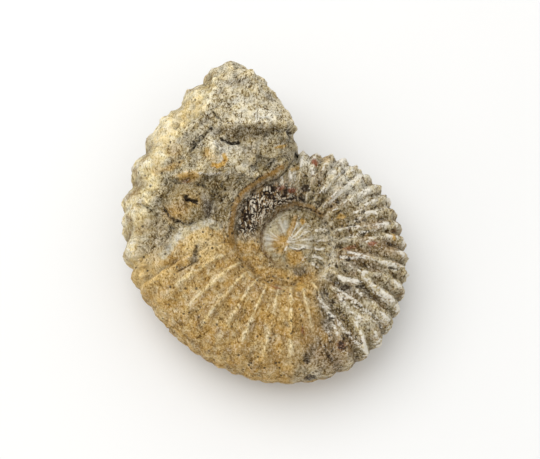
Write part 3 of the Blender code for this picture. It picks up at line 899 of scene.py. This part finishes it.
class Surface:
    """The stone's vertices: where each is, how far down it lies, and what it is made of."""

    def __init__(self, growth, share, side, places, faces, height, rock):
        self.growth, self.share, self.places, self.rock = growth, share, places, rock
        self.marks = Marks(places, side)
        self.mottle = grain(places, *MOTTLE)
        self.away = rib_crests(growth, share)
        self.deep = hollows(height, faces, DEEP_STEPS)
        self.fine = hollows(height, faces, FINE_STEPS)
        self.tan = np.maximum(self.marks.find(TAN_SHELL), self.tan_below(side == LOWER))
        rim = smooth(*RIM_EDGE, rim_share(growth, share) + BAND_REACH * self.mottle)
        self.rim = rim * smooth(*RIM_COMES, growth) * (1 - smooth(*RIM_GOES, growth))

    def tan_below(self, under):
        """Where the sandy shell goes on round to the underside."""
        comes = smooth(*TAN_COMES, self.growth + 6 * self.mottle)
        return under * comes * (1 - smooth(*TAN_GOES, self.growth + 8 * self.mottle))

    def patch(self, name):
        *lumps, start, full = PATCHES[name]
        return smooth(start, full, grain(self.places, *lumps))


class Paint:
    """A colour for each vertex, with more laid over it, and how bare of chalk it stays."""

    def __init__(self, colours, count):
        self.colours = colours
        self.tint = np.tile(np.array(colours.grey), (count, 1))
        self.bare = np.zeros(count)

    def lay(self, name, mask):
        if name in RARE_COLOURS:
            self.bare = np.maximum(self.bare, mask)
        self.tint = mix(self.tint, np.array(getattr(self.colours, name)), np.clip(mask, 0, 1)[:, None])

    def lay_all(self, stains, marks):
        for name, shapes in stains:
            for strength, shape in shapes:
                self.lay(name, strength * marks.find(shape))


def paint_shell(paint, stone):
    """Mottled sandy shell, olive in patches elsewhere, and cream along the rim by the mouth."""
    tan, grey, rim = stone.tan, 1 - stone.tan, stone.rim * stone.marks.shown
    paint.lay("tan", tan)
    paint.lay("brown", 0.6 * tan * stone.patch("tan brown"))
    paint.lay("sand", 0.4 * tan * stone.patch("tan sand"))
    paint.lay("cream", 0.3 * tan * stone.patch("tan cream"))
    paint.lay("olive", 0.6 * grey * stone.patch("olive") * (1 - 0.5 * stone.rock))
    paint.lay("cream", 0.97 * rim * grey)
    paint.lay("tan", 0.4 * rim * stone.patch("rim tan"))


def paint_ribs(paint, stone):
    """Pale crests and olive troughs on the grey shell, and pale lines on the tan, partly painted highlight,
    with painted shade beside them.
    """
    away, share = stone.away, stone.share
    on_shell = (stone.growth > 0) * (1 - stone.rock)
    tan, grey = stone.tan * on_shell, (1 - stone.tan) * stone.marks.shown * on_shell
    band = smooth(*BAND_EDGE, away + 0.16 * grain(stone.places, *BAND_GRAIN))
    paint.lay("pale", 0.75 * (1 - band) * grey * mix(0.35, 1, stone.patch("rib pale")))
    paint.lay("olive", 0.75 * band * grey)
    paint.lay("brown", 0.6 * grey * stone.patch("rib brown"))
    start, end = WORN_LINE
    worn = stone.patch("worn") * smooth(*start, share) * (1 - smooth(*end, share))
    beside = smooth(*BESIDE[0], away) * (1 - smooth(*BESIDE[1], away))
    # Painted shade: a brown band beside each of the tan shell's crest lines.
    paint.lay("brown", 0.35 * beside * tan * worn)
    # Partly painted highlight: the cream crest lines stand for the ribs' lit faces as well as pale shell.
    paint.lay("cream", 0.5 * bell(away, TAN_LINE_WIDTH) * tan * worn)


def chalk_and_highlight_mask(stone):
    """Where chalk clings on rib crests, ridges and chosen lines, with painted highlights on raised and ledge
    edges.
    """
    grey, shell, marks, growth = 1 - stone.tan, 1 - stone.rock, stone.marks, stone.growth
    patches = stone.patch("chalk") * (1 - 0.7 * stone.rim)
    crest = bell(stone.away, mix(*CHALK_WIDTHS, grey)) * smooth(*RIDGE_START, stone.share) * shell
    # On the tan shell this thin chalk along the crests is partly painted highlight on the ribs' lit faces.
    chalk = crest * (growth > CHALK_START) * mix(0.2, 0.2 + 0.7 * patches, grey)
    chalk += 0.3 * grey * smooth(*CHALK_RIM, stone.share) * shell * (growth > -360) * patches
    chalk *= 1 - 0.65 * marks.find(CLEAN_PATCH)
    # Less chalk in hollows, and painted highlight: more chalk on raised edges, as if they caught the light.
    chalk -= 0.9 * (0.4 + 0.6 * grey) * np.maximum(stone.fine, 0)
    chalk -= (0.6 + 0.4 * shell) * grey * np.minimum(stone.fine, 0)
    ridge_lines = [(chalky, Line(points, width, RIDGE_SOFT)) for points, width, _, chalky in RIDGES]
    chalk = marks.highest(chalk, ridge_lines)
    return np.clip(marks.highest(chalk, CHALK_AND_HIGHLIGHT_MARKS), 0, 1.2)


def dirt_and_shade_mask(stone):
    """How dark each vertex is painted: painted shade in hollows and under the nodule, dark cracks and holes,
    and dark patches between the ribs.
    """
    tan, marks = stone.tan, stone.marks
    # Painted shade: hollows are darkened, the deepest most.
    dark = 1.1 * np.maximum(stone.fine, 0) * mix(1, 0.35, tan)
    dark += 0.12 * np.clip(stone.deep, 0, 1.2) * mix(1, 0.4, tan)
    for points, width, depth in CRACKS:
        dark = np.maximum(dark, mix(0.6, 1.2, min(1.0, depth)) * marks.line(points, 0.9 * width))
    dark = marks.highest(dark, [(min(1.3, depth + 0.2), hole) for depth, hole in HOLES])
    dark = marks.highest(dark, DARK_SPOTS)
    trough = smooth(*TROUGH, stone.away) * (1 - tan) * (1 - stone.rock) * marks.shown * (stone.growth > 0)
    dark = np.maximum(dark, (0.24 + 0.5 * stone.patch("blots")) * trough)
    return np.clip(dark - 0.17 * tan, -0.3, 1)


def stone_tint(stone, colours):
    """The stone's colour at each vertex, before its grain, and the masks that the material reads."""
    marks, rim = stone.marks, stone.rim
    paint = Paint(colours, len(stone.places))
    paint.lay("pale", 0.55 * marks.shown * stone.rock * smooth(*PALE_MOTTLE, stone.mottle))
    paint.lay_all(ROCK_STAINS, marks)
    paint_shell(paint, stone)
    paint_ribs(paint, stone)
    paint.lay_all(SHELL_STAINS, marks)
    # Painted shade and painted highlight: the tint darkens in hollows and lightens on raised places, as light
    # would fall on the relief.
    paint.tint *= np.clip(1 - 0.2 * stone.deep * (1 - rim) - 0.6 * stone.fine, *SHADE_LIMITS)[:, None]
    paint.lay("ochre", marks.find(CRESCENT, False))
    paint.lay("brown", 0.3 * marks.find(BAY_STAIN))
    paint.lay("seam", marks.find(SEAM_LINE, False))
    paint.lay("seam", 0.75 * marks.find(INNER_SEAM_LINE))
    speckle = mix(1.05, 0.7, stone.tan) * (1 - 0.4 * rim) * (1 - 0.45 * paint.bare)
    masks = {
        "chalk": chalk_and_highlight_mask(stone) * (1 - 0.85 * paint.bare),
        "dark": dirt_and_shade_mask(stone) - 0.25 * rim,
        "needles": np.clip(marks.find(NEEDLES), 0, 1) * (1 - 0.8 * paint.bare),
        "speckle": speckle * (1 - 0.35 * marks.find(HUB_OVAL)) * (1 - 0.2 * marks.find(NODULE_OVAL)),
        "fan": 1.1 * marks.area(FAN, 0.4, False) + 0.9 * marks.area(PALE_HUB, 0.4, False),
    }
    return paint.tint, masks


RING_LENGTH = (14.0, 42.0)  # from the seam of a ring to its end, on the first whorl and on the last
RAYS_MIDDLE = (-0.8, 0.5)
RAYS_RADIUS = 7.0
RAYS_SPREAD = 5.0


def flow_lines(growth, share, places):
    """Coordinates for streaks: across them, which is along the coil or round the hub, and along them."""
    across = np.radians(growth) * np.hypot(places[:, 0], places[:, 1])
    along = share * np.where(growth < 0, *RING_LENGTH)
    u, v = sight(places)
    u, v = u - RAYS_MIDDLE[0], v - RAYS_MIDDLE[1]
    away = np.hypot(u, v)
    in_rays = away < RAYS_RADIUS
    across = np.where(in_rays, RAYS_SPREAD * np.arctan2(v, u), across)
    return np.stack([across, np.where(in_rays, away, along), 0 * growth], axis=1)


# Materials


class Nodes:
    """Adds nodes to a tree and links them. A value that is a socket is linked, and any other is set."""

    def __init__(self, tree):
        self.tree = tree

    def put(self, socket, value):
        if isinstance(value, bpy.types.NodeSocket):
            self.tree.links.new(value, socket)
        else:
            socket.default_value = value

    def add(self, kind, output=0, **inputs):
        """A node of this kind. Inputs go by name, and its other settings by name in small letters."""
        node = self.tree.nodes.new(kind)
        for name, value in inputs.items():
            if name[0].islower():
                setattr(node, name, value)
        for name, value in inputs.items():
            if not name[0].islower():
                self.put(node.inputs[name.replace("_", " ")], value)
        return node.outputs[output]

    def math(self, operation, *values):
        node = self.tree.nodes.new("ShaderNodeMath")
        node.operation = operation
        for socket, value in zip(node.inputs, values):
            self.put(socket, value)
        return node.outputs[0]

    def times(self, first, second):
        return self.math("MULTIPLY", first, second)

    def scaled(self, value, gain, base):
        return self.math("MULTIPLY_ADD", value, gain, base)

    def centred(self, value):
        return self.math("SUBTRACT", value, 0.5)

    def noise(self, vector, scale, detail=2.0, roughness=0.5, distortion=0.0):
        return self.add(
            "ShaderNodeTexNoise",
            Vector=vector, Scale=scale, Detail=detail, Roughness=roughness, Distortion=distortion,
        )

    def ramp(self, value, low, high, start=0.0, end=1.0):
        """start where the value is at most low, end where it is at least high, and an easy curve between."""
        return self.add(
            "ShaderNodeMapRange", interpolation_type="SMOOTHSTEP",
            Value=value, From_Min=low, From_Max=high, To_Min=start, To_Max=end,
        )

    def stretch(self, vector, scale):
        node = self.tree.nodes.new("ShaderNodeVectorMath")
        node.operation = "MULTIPLY"
        self.put(node.inputs[0], vector)
        node.inputs[1].default_value = scale
        return node.outputs[0]

    def mix(self, share, first, second, blend="MIX"):
        node = self.tree.nodes.new("ShaderNodeMix")
        node.data_type = "RGBA"
        node.blend_type = blend
        for socket, value in ((node.inputs[0], share), (node.inputs[6], first), (node.inputs[7], second)):
            self.put(socket, value)
        return node.outputs[2]

    def attribute(self, name, output="Fac"):
        node = self.tree.nodes.new("ShaderNodeAttribute")
        node.attribute_name = name
        return node.outputs[output]


GRITS = (  # scale, detail, roughness, distortion, shade, lift
    (1.75, 3.0, 0.7, 0.0, 3.4, 0.8),
    (0.7, 3.0, 0.65, 0.7, 1.8, 0.5),
    (0.28, 2.0, 0.6, 0.8, 1.3, 0.0),
)
GRIT_BASE = 1.02
SCRATCHES = (  # scale, turn, width, shade, lift
    (0.45, 0.9, 0.045, 0.34, 0.3),
    (0.50, -0.4, 0.045, -0.50, -0.45),
    (0.95, 2.3, 0.055, 0.42, 0.25),
    (1.00, 0.4, 0.055, -0.45, -0.4),
    (1.25, 1.5, 0.06, 0.36, 0.2),
    (0.80, 2.9, 0.05, -0.34, -0.3),
)
SCRATCH_NOISE = (2.0, 0.6, 0.7)  # detail, roughness, distortion
SCRATCH_TILT = (0.3, 0.2)
SCRATCH_STRETCH = (1.0, 0.5, 0.8)
SPECKS = (1.25, 4.0, 0.7, 1.0)
SPECK_EDGE = (0.34, 0.40)
SPECK_SHADE = 0.45
SPECK_LIFT = 0.4
HUE = (0.4, 3.0, 0.6)
HUE_STRETCH = (1.0, 1.0, 0.8)
HUE_EDGE = (0.36, 0.64)


def speckle_group():
    """Grains of a sandy stone: how bright each is, how far it stands out, and how warm its colour is."""
    group = bpy.data.node_groups.new("Stone Speckle", "ShaderNodeTree")
    for way, sockets in (
        ("INPUT", (("Vector", "Vector"), ("Contrast", "Float"))),
        ("OUTPUT", (("Brightness", "Float"), ("Height", "Float"), ("Warmth", "Float"))),
    ):
        for label, kind in sockets:
            group.interface.new_socket(label, in_out=way, socket_type="NodeSocket" + kind)
    nodes = Nodes(group)
    given = group.nodes.new("NodeGroupInput").outputs
    wanted = group.nodes.new("NodeGroupOutput").inputs
    vector = given["Vector"]
    bright = GRIT_BASE
    raised = 0.0
    for scale, detail, roughness, distortion, shade, lift in GRITS:
        grit = nodes.noise(vector, scale, detail, roughness, distortion)
        bright = nodes.scaled(nodes.centred(grit), shade, bright)
        raised = nodes.scaled(grit, lift, raised)
    for scale, turn, width, shade, lift in SCRATCHES:
        turned = nodes.add(
            "ShaderNodeMapping", Vector=vector, Rotation=(*SCRATCH_TILT, turn), Scale=SCRATCH_STRETCH
        )
        away = nodes.math("ABSOLUTE", nodes.centred(nodes.noise(turned, scale, *SCRATCH_NOISE)))
        scratch = nodes.ramp(away, 0.0, width, 1.0, 0.0)
        bright = nodes.scaled(scratch, shade, bright)
        raised = nodes.scaled(scratch, lift, raised)
    specks = nodes.ramp(nodes.noise(vector, *SPECKS), *SPECK_EDGE)
    bright = nodes.times(bright, nodes.scaled(specks, SPECK_SHADE, 1 - SPECK_SHADE))
    nodes.put(wanted["Brightness"], nodes.scaled(nodes.math("SUBTRACT", bright, 1.0), given["Contrast"], 1.0))
    nodes.put(wanted["Height"], nodes.scaled(specks, SPECK_LIFT, raised))
    hue = nodes.noise(nodes.stretch(vector, HUE_STRETCH), *HUE)
    nodes.put(wanted["Warmth"], nodes.ramp(hue, *HUE_EDGE, -1.0, 1.0))
    return group


SHADE_RANGE = (0.08, 1.08)
RED_POWER, RED_WARMTH = 0.82, 0.05
BLUE_POWER, BLUE_WARMTH, BLUE_BASE = 1.4, -0.14, 0.93
BRIGHT_TINT = (1.4, 1.37, 1.22)
BRIGHT_CHALK = 0.35
BRIGHT_GRAINS = (1.05, 1.75, 0.0, 0.85)


def grained(nodes, colours, tint, brightness, warmth):
    """The tint with its grains: dark ones are warmer, and the brightest are nearly chalk."""
    shade = nodes.math("MAXIMUM", nodes.math("MINIMUM", brightness, SHADE_RANGE[1]), SHADE_RANGE[0])
    red = nodes.times(nodes.math("POWER", shade, RED_POWER), nodes.scaled(warmth, RED_WARMTH, 1.0))
    blue = nodes.times(nodes.math("POWER", shade, BLUE_POWER), nodes.scaled(warmth, BLUE_WARMTH, BLUE_BASE))
    shaded = nodes.mix(1.0, tint, nodes.add("ShaderNodeCombineXYZ", X=red, Y=shade, Z=blue), "MULTIPLY")
    bright = nodes.mix(BRIGHT_CHALK, nodes.stretch(tint, BRIGHT_TINT), (*colours.chalk, 1))
    return nodes.mix(nodes.ramp(brightness, *BRIGHT_GRAINS), shaded, bright)


# The umber here also lays the painted shade of the hollows, which comes in through the dark mask.
DIRT_AND_SHADE_EDGE, DIRT_AND_SHADE_SHARE = (0.42, 0.9), 0.92
FLECKS = (1.9, 2.0, 0.6)
FLECK_EDGE, FLECK_SHARE = (0.64, 0.72), 0.5
FLECK_POWER = 3.0  # keeps the flecks to where the grain is strong
CHALK_EDGE, CHALK_SHARE = (0.5, 0.95), 0.85


def weathered(nodes, colours, colour, dark, chalk, place, contrast):
    """The colour darkened by dirt and painted shade in its low places, with chalk, painted highlights and
    chalky flecks over it.
    """
    colour = nodes.mix(nodes.times(nodes.ramp(dark, *DIRT_AND_SHADE_EDGE), DIRT_AND_SHADE_SHARE), colour, (*colours.umber, 1))
    flecks = nodes.ramp(nodes.noise(place, *FLECKS), *FLECK_EDGE)
    flecks = nodes.times(flecks, nodes.times(nodes.math("POWER", contrast, FLECK_POWER), FLECK_SHARE))
    chalky = nodes.math("MAXIMUM", nodes.times(nodes.ramp(chalk, *CHALK_EDGE), CHALK_SHARE), flecks)
    return nodes.mix(chalky, colour, (*colours.chalk, 1))


NEEDLE_LIGHT = 1.25  # how much lighter than ash the lightest needles are
NEEDLE_STRETCH, NEEDLE_NOISE, NEEDLE_EDGE = (0.7, 0.5, 1.0), (1.0, 2.0, 0.6, 1.6), (0.485, 0.505)
FIBRE_STRETCH, FIBRE_NOISE = (1.7, 0.6, 1.0), (1.0, 1.0, 0.6, 1.0)
LIGHT_FIBRES, DARK_FIBRES = (0.4, 0.48), (0.46, 0.52)
CLOTS, CLOT_EDGE = (0.6, 3.0, 0.65, 1.2), (0.51, 0.525)


def needled(nodes, colours, colour, place, flow):
    """The colour with needles of crystal, light on dark, clotted here and there."""
    umber, brown = (*colours.umber, 1), (*colours.brown, 1)
    needles = nodes.noise(nodes.stretch(flow, NEEDLE_STRETCH), *NEEDLE_NOISE)
    fibres = nodes.noise(nodes.stretch(flow, FIBRE_STRETCH), *FIBRE_NOISE)
    clots = nodes.noise(place, *CLOTS)
    lightest = [*[NEEDLE_LIGHT * part for part in colours.ash], 1]
    light = nodes.mix(nodes.ramp(fibres, *LIGHT_FIBRES), brown, lightest)
    crystal = nodes.mix(nodes.ramp(fibres, *DARK_FIBRES), umber, brown)
    crystal = nodes.mix(nodes.ramp(needles, *NEEDLE_EDGE), crystal, light)
    crystal = nodes.mix(nodes.ramp(clots, *CLOT_EDGE), crystal, umber)
    return nodes.mix(nodes.attribute("needles"), colour, crystal)


RAY_STRETCH, RAY_NOISE = (1.3, 0.12, 1.0), (1.0, 1.0, 0.5)
PALE_RAYS, DARK_RAYS = (0.52, 0.62, 0.0, 0.5), (0.34, 0.46, 0.45, 0.0)


def rayed(nodes, colours, colour, flow):
    """The colour with fine rays round the hub, pale and dark."""
    rays = nodes.noise(nodes.stretch(flow, RAY_STRETCH), *RAY_NOISE)
    hub = nodes.attribute("fan")
    colour = nodes.mix(nodes.times(hub, nodes.ramp(rays, *PALE_RAYS)), colour, (*colours.chalk, 1))
    return nodes.mix(nodes.times(hub, nodes.ramp(rays, *DARK_RAYS)), colour, (*colours.brown, 1))


PIT_SCALE = 0.55
PIT_EDGE = (0.16, 0.24, 1.0, 0.0)
PIT_PATCHES, PATCH_EDGE = (0.35, 1.0, 0.5), (0.5, 0.56)
PIT_CALM = (0.8, 1.05, 1.0, 0.25)


def pinholes(nodes, place, contrast):
    """Small round pits in patches, fewer of them where the grain is strong."""
    pits = nodes.add("ShaderNodeTexVoronoi", Vector=place, Scale=PIT_SCALE, Randomness=1.0)
    patches = nodes.ramp(nodes.noise(place, *PIT_PATCHES), *PATCH_EDGE)
    pits = nodes.times(nodes.ramp(pits, *PIT_EDGE), patches)
    return nodes.times(pits, nodes.ramp(contrast, *PIT_CALM))


STREAK_STRETCH, STREAKS = (1.5, 0.3, 1.0), (1.0, 3.0, 0.65, 0.6)
RAGGED_GRAINS = (1.6, 4.0, 0.7)
STREAK_SHARE = 0.25  # of the noise that makes dirt and chalk ragged. The rest is grains.
DARK_RAGGED, CHALK_RAGGED = -3.2, 3.4
PIT_SHADE = 0.75
PIT_LIFT, STREAK_LIFT = -1.2, 0.7
BUMP_STRENGTH = 0.55
BUMP_DEPTH = 0.45  # millimetres
ROUGHNESS = (0.2, 0.9, 0.72, 0.92)  # chalk from and to, then bare and chalky
STONE_SPECULAR = 0.15


def stone_material(colours):
    """Sandy tan and grey stone with chalk on its ribs, dark pits, and needles of crystal round the hub."""
    material = bpy.data.materials.new("fossil_stone")
    material.use_nodes = True
    nodes = Nodes(material.node_tree)
    shader = material.node_tree.nodes["Principled BSDF"]
    place = nodes.stretch(nodes.add("ShaderNodeTexCoord", 3), (1 / MM,) * 3)
    flow = nodes.attribute("flow", "Vector")
    contrast = nodes.attribute("speckle")
    speckle = nodes.tree.nodes.new("ShaderNodeGroup")
    speckle.node_tree = speckle_group()
    nodes.put(speckle.inputs["Vector"], place)
    nodes.put(speckle.inputs["Contrast"], contrast)
    brightness, warmth = speckle.outputs["Brightness"], speckle.outputs["Warmth"]

    streaks = nodes.noise(nodes.stretch(flow, STREAK_STRETCH), *STREAKS)
    grains = nodes.noise(place, *RAGGED_GRAINS)
    ragged = nodes.scaled(streaks, STREAK_SHARE, nodes.times(grains, 1 - STREAK_SHARE))
    dark = nodes.scaled(nodes.centred(ragged), DARK_RAGGED, nodes.attribute("dark"))
    chalk = nodes.scaled(nodes.centred(ragged), CHALK_RAGGED, nodes.attribute("chalk"))
    colour = grained(nodes, colours, nodes.attribute("tint", "Color"), brightness, warmth)
    colour = weathered(nodes, colours, colour, dark, chalk, place, contrast)
    colour = needled(nodes, colours, colour, place, flow)
    colour = rayed(nodes, colours, colour, flow)
    pits = pinholes(nodes, place, contrast)
    colour = nodes.mix(nodes.times(pits, PIT_SHADE), colour, (*colours.umber, 1))

    height = nodes.scaled(streaks, STREAK_LIFT, speckle.outputs["Height"])
    height = nodes.scaled(pits, PIT_LIFT, height)
    bump = nodes.add("ShaderNodeBump", Strength=BUMP_STRENGTH, Distance=BUMP_DEPTH * MM, Height=height)
    nodes.put(shader.inputs["Base Color"], colour)
    nodes.put(shader.inputs["Roughness"], nodes.ramp(chalk, *ROUGHNESS))
    nodes.put(shader.inputs["Normal"], bump)
    shader.inputs["Specular IOR Level"].default_value = STONE_SPECULAR
    return material


CARD_SHADE = 0.985  # of the card's darkest places
CARD_NOISE, CARD_EDGE = (9.0, 2.0), (0.3, 0.7)
CARD_ROUGHNESS = 0.9
CARD_SPECULAR = 0.1


def floor_material(colour):
    """Pale matt card, with the faintest unevenness."""
    material = bpy.data.materials.new("pale_card")
    material.use_nodes = True
    nodes = Nodes(material.node_tree)
    shader = material.node_tree.nodes["Principled BSDF"]
    place = nodes.add("ShaderNodeTexCoord", 3)
    shade = nodes.ramp(nodes.noise(place, *CARD_NOISE), *CARD_EDGE)
    darkest = [*[CARD_SHADE * part for part in colour], 1]
    nodes.put(shader.inputs["Base Color"], nodes.mix(shade, darkest, [*colour, 1]))
    shader.inputs["Roughness"].default_value = CARD_ROUGHNESS
    shader.inputs["Specular IOR Level"].default_value = CARD_SPECULAR
    return material


# What a user can change


def length(name, description, millimetres, least=0.0):
    return bpy.props.FloatProperty(
        name=name, description=description, default=millimetres * MM, min=least * MM,
        unit="LENGTH", precision=5,
    )


def shade(name, description, red, green, blue):
    return bpy.props.FloatVectorProperty(
        name=name, description=description, subtype="COLOR", default=(red, green, blue), min=0, max=1
    )


class FossilForm(bpy.types.PropertyGroup):
    """Sizes of what is raised on the stone."""

    rib_height: length("Rib height", "Height of a rib's swell", 0.75)
    ridge_height: length("Ridge height", "Height of the thin ridge along a rib's crest", 0.3)
    knob_height: length("Knob height", "Height of the knobs by the rim", 0.5)
    wear: bpy.props.FloatProperty(
        name="Wear", description="How uneven the worn shell is, in millimetres", default=1.0, min=0, max=2
    )


class FossilColours(bpy.types.PropertyGroup):
    """Colours of the stone."""

    tan: shade("Tan", "Sandy shell", 0.44, 0.276, 0.09)
    grey: shade("Grey", "Weathered shell and rock", 0.35, 0.29, 0.18)
    pale: shade("Pale", "Bleached rock", 0.56, 0.49, 0.36)
    # Olive is also laid as painted shade on the ledge's face.
    olive: shade("Olive", "Rock in the low places", 0.25, 0.19, 0.095)
    # Cream is also laid as painted highlight along the tan ribs' crests.
    cream: shade("Cream", "Shell along the rim by the mouth", 0.83, 0.73, 0.50)
    # Brown is also laid as painted shade beside the tan ribs' crests and along the hub disc's edge.
    brown: shade("Brown", "Stains in the seam and the hollow", 0.24, 0.15, 0.065)
    # Umber is also laid as painted shade in hollows, through the dark mask.
    umber: shade("Umber", "Cracks, pits and dark crystals", 0.024, 0.014, 0.008)
    # Chalk is also laid as painted highlight on raised edges and the ledges' top edges.
    chalk: shade("Chalk", "Chalky ribs and flecks", 0.84, 0.80, 0.71)
    ochre: shade("Ochre", "Yellow stains", 0.55, 0.33, 0.08)
    rust: shade("Rust", "Red stains", 0.25, 0.06, 0.018)
    # Shadow is laid as painted shade on the ledge's face and down the nodule's right side, and elsewhere as
    # dark grey patches.
    shadow: shade("Shadow", "Dark grey patches of rock", 0.15, 0.12, 0.085)
    sand: shade("Sand", "Pale yellow shell", 0.60, 0.44, 0.21)
    ash: shade("Ash", "Light grey rims and crystals", 0.54, 0.49, 0.39)
    seam: shade("Seam", "Brown line along the seam", 0.31, 0.18, 0.052)


class FossilStage(bpy.types.PropertyGroup):
    """The floor, the lights and the camera."""

    floor_colour: shade("Floor", "Colour of the card that the fossil lies on", 0.8, 0.8, 0.795)
    key_power: bpy.props.FloatProperty(
        name="Key light", description="Power of the large soft light", default=2.42, min=0, unit="POWER"
    )
    sky: bpy.props.FloatProperty(
        name="Sky", description="Strength of the even light from all round", default=0.9, min=0
    )
    camera_elevation: bpy.props.FloatProperty(
        name="Camera elevation", description="Angle of the camera above the floor",
        default=math.radians(68.6), subtype="ANGLE",
    )
    camera_distance: length("Camera distance", "From the camera to the middle of the view", 290.0, 100.0)
    view_width: length("View width", "Width of what the camera sees at that distance", 145.8, 10.0)


# Operators

FLOOR_HALF = 1.5  # metres
FLOOR_DROP = 0.05  # millimetres below the stone
SKY_COLOUR = (1.0, 0.995, 0.98, 1)
LAMP_SIZE = 0.7
LAMP_PLACE = (-0.22, 0.17, 0.62)
VIEW_MIDDLE = (270.0, 229.5)  # pixels, in a view that is twice as wide and as high
AXIS_PIXEL = (290.1, 245.0)  # where the view shows the coil's axis
SENSOR_WIDTH = 36.0
CLIP_START = 0.01


def write_values(mesh, name, kind, field, values):
    attribute = mesh.attributes.new(name, kind, "POINT")
    attribute.data.foreach_set(field, np.ascontiguousarray(values, np.float32).ravel())


class FOSSIL_OT_stone(bpy.types.Operator):
    """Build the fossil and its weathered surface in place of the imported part"""

    bl_idname = "fossil.stone"
    bl_label = "Fossil stone"

    def execute(self, context):
        form, colours = context.scene.fossil_form, context.scene.fossil_colours
        strip = wind_strip()
        growth, share, side = np.array(strip.spots, float).T
        skin = skin_points(growth, share, side)
        rows = skin.tolist()
        faces = [face for band in strip.bands for face in bridge(rows, *band)]
        height, rock = relief(growth, share, side, skin, form)
        places = skin + skin_normals(skin, faces) * height[:, None]
        tint, masks = stone_tint(Surface(growth, share, side, places, faces, height, rock), colours)

        turn = np.array(Euler([math.radians(angle) for angle in TIP_OVER] + [0]).to_matrix())
        rested = places @ turn.T + np.array(AXIS_PLACE)
        rested[:, 2] = np.maximum(rested[:, 2], 0)
        mesh = bpy.data.meshes.new("weathered_fossil")
        mesh.from_pydata((rested * MM).tolist(), [], faces)
        if mesh.validate():
            raise RuntimeError("the fossil's mesh has faces that aren't valid")
        write_values(mesh, "tint", "FLOAT_COLOR", "color", np.column_stack([tint, np.ones(len(tint))]))
        write_values(mesh, "flow", "FLOAT_VECTOR", "vector", flow_lines(growth, share, places))
        for name, values in masks.items():
            write_values(mesh, name, "FLOAT", "value", values)
        mesh.materials.append(stone_material(colours))
        broken = rock[np.array(faces)].mean(axis=1) > 0.5
        mesh.polygons.foreach_set("use_smooth", ~broken)
        fossil = bpy.data.objects.new("weathered_fossil", mesh)
        context.scene.collection.objects.link(fossil)
        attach(fossil, BODY)
        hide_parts(NODE)
        return {"FINISHED"}


def lay_floor(scene, stage):
    mesh = bpy.data.meshes.new("floor")
    corners = [(x * FLOOR_HALF, y * FLOOR_HALF, 0) for x, y in ((-1, -1), (1, -1), (1, 1), (-1, 1))]
    mesh.from_pydata(corners, [], [(0, 1, 2, 3)])
    mesh.materials.append(floor_material(stage.floor_colour))
    floor = bpy.data.objects.new("floor", mesh)
    floor.location.z = -FLOOR_DROP * MM
    scene.collection.objects.link(floor)


def hang_lights(scene, stage):
    world = bpy.data.worlds.new("even_sky")
    world.use_nodes = True
    background = world.node_tree.nodes["Background"]
    background.inputs["Color"].default_value = SKY_COLOUR
    background.inputs["Strength"].default_value = stage.sky
    scene.world = world
    key = bpy.data.lights.new("key", "AREA")
    key.shape = "DISK"
    key.size = LAMP_SIZE
    key.energy = stage.key_power
    lamp = bpy.data.objects.new("key", key)
    lamp.location = LAMP_PLACE
    lamp.rotation_euler = (-lamp.location).to_track_quat("-Z", "Y").to_euler()
    scene.collection.objects.link(lamp)


def set_camera(scene, stage):
    elevation = stage.camera_elevation
    ahead = Vector((0, math.cos(elevation), -math.sin(elevation)))
    up = Vector((0, math.sin(elevation), math.cos(elevation)))
    right = Vector((1, 0, 0))
    pixel = stage.view_width / (2 * VIEW_MIDDLE[0])
    aim = Vector(AXIS_PLACE) * MM + right * (VIEW_MIDDLE[0] - AXIS_PIXEL[0]) * pixel
    aim -= up * (VIEW_MIDDLE[1] - AXIS_PIXEL[1]) * pixel
    camera = bpy.data.cameras.new("camera")
    camera.sensor_width = SENSOR_WIDTH
    camera.sensor_fit = "HORIZONTAL"
    camera.lens = camera.sensor_width * stage.camera_distance / stage.view_width
    camera.clip_start = CLIP_START
    holder = bpy.data.objects.new("camera", camera)
    holder.location = aim - ahead * stage.camera_distance
    holder.rotation_euler = Matrix((right, up, -ahead)).transposed().to_euler()
    scene.collection.objects.link(holder)
    scene.camera = holder


class FOSSIL_OT_stage(bpy.types.Operator):
    """Lay the pale floor, hang the soft lights and set up the camera"""

    bl_idname = "fossil.stage"
    bl_label = "Stage"

    def execute(self, context):
        scene, stage = context.scene, context.scene.fossil_stage
        lay_floor(scene, stage)
        hang_lights(scene, stage)
        set_camera(scene, stage)
        scene.view_settings.view_transform = "Standard"
        return {"FINISHED"}


class FOSSIL_PT_panel(bpy.types.Panel):
    """The fossil's sizes, colours and stage, and the buttons that build them"""

    bl_idname = "FOSSIL_PT_panel"
    bl_label = "Ammonite Fossil"
    bl_space_type = "VIEW_3D"
    bl_region_type = "UI"
    bl_category = "Fossil"

    def draw(self, context):
        scene = context.scene
        for label, settings, operator in (
            ("Form", scene.fossil_form, None),
            ("Colours", scene.fossil_colours, FOSSIL_OT_stone),
            ("Stage", scene.fossil_stage, FOSSIL_OT_stage),
        ):
            box = self.layout.box()
            box.label(text=label)
            for name in settings.__annotations__:
                box.prop(settings, name)
            if operator:
                box.operator(operator.bl_idname)


CLASSES = (FossilForm, FossilColours, FossilStage, FOSSIL_OT_stone, FOSSIL_OT_stage, FOSSIL_PT_panel)
SETTINGS = {"fossil_form": FossilForm, "fossil_colours": FossilColours, "fossil_stage": FossilStage}


def register():
    for each in CLASSES:
        bpy.utils.register_class(each)
    for name, group in SETTINGS.items():
        setattr(bpy.types.Scene, name, bpy.props.PointerProperty(type=group))


def unregister():
    for name in SETTINGS:
        delattr(bpy.types.Scene, name)
    for each in reversed(CLASSES):
        bpy.utils.unregister_class(each)


def main():
    register()
    bpy.ops.fossil.stone()
    bpy.ops.fossil.stage()


if __name__ == "__main__":
    main()
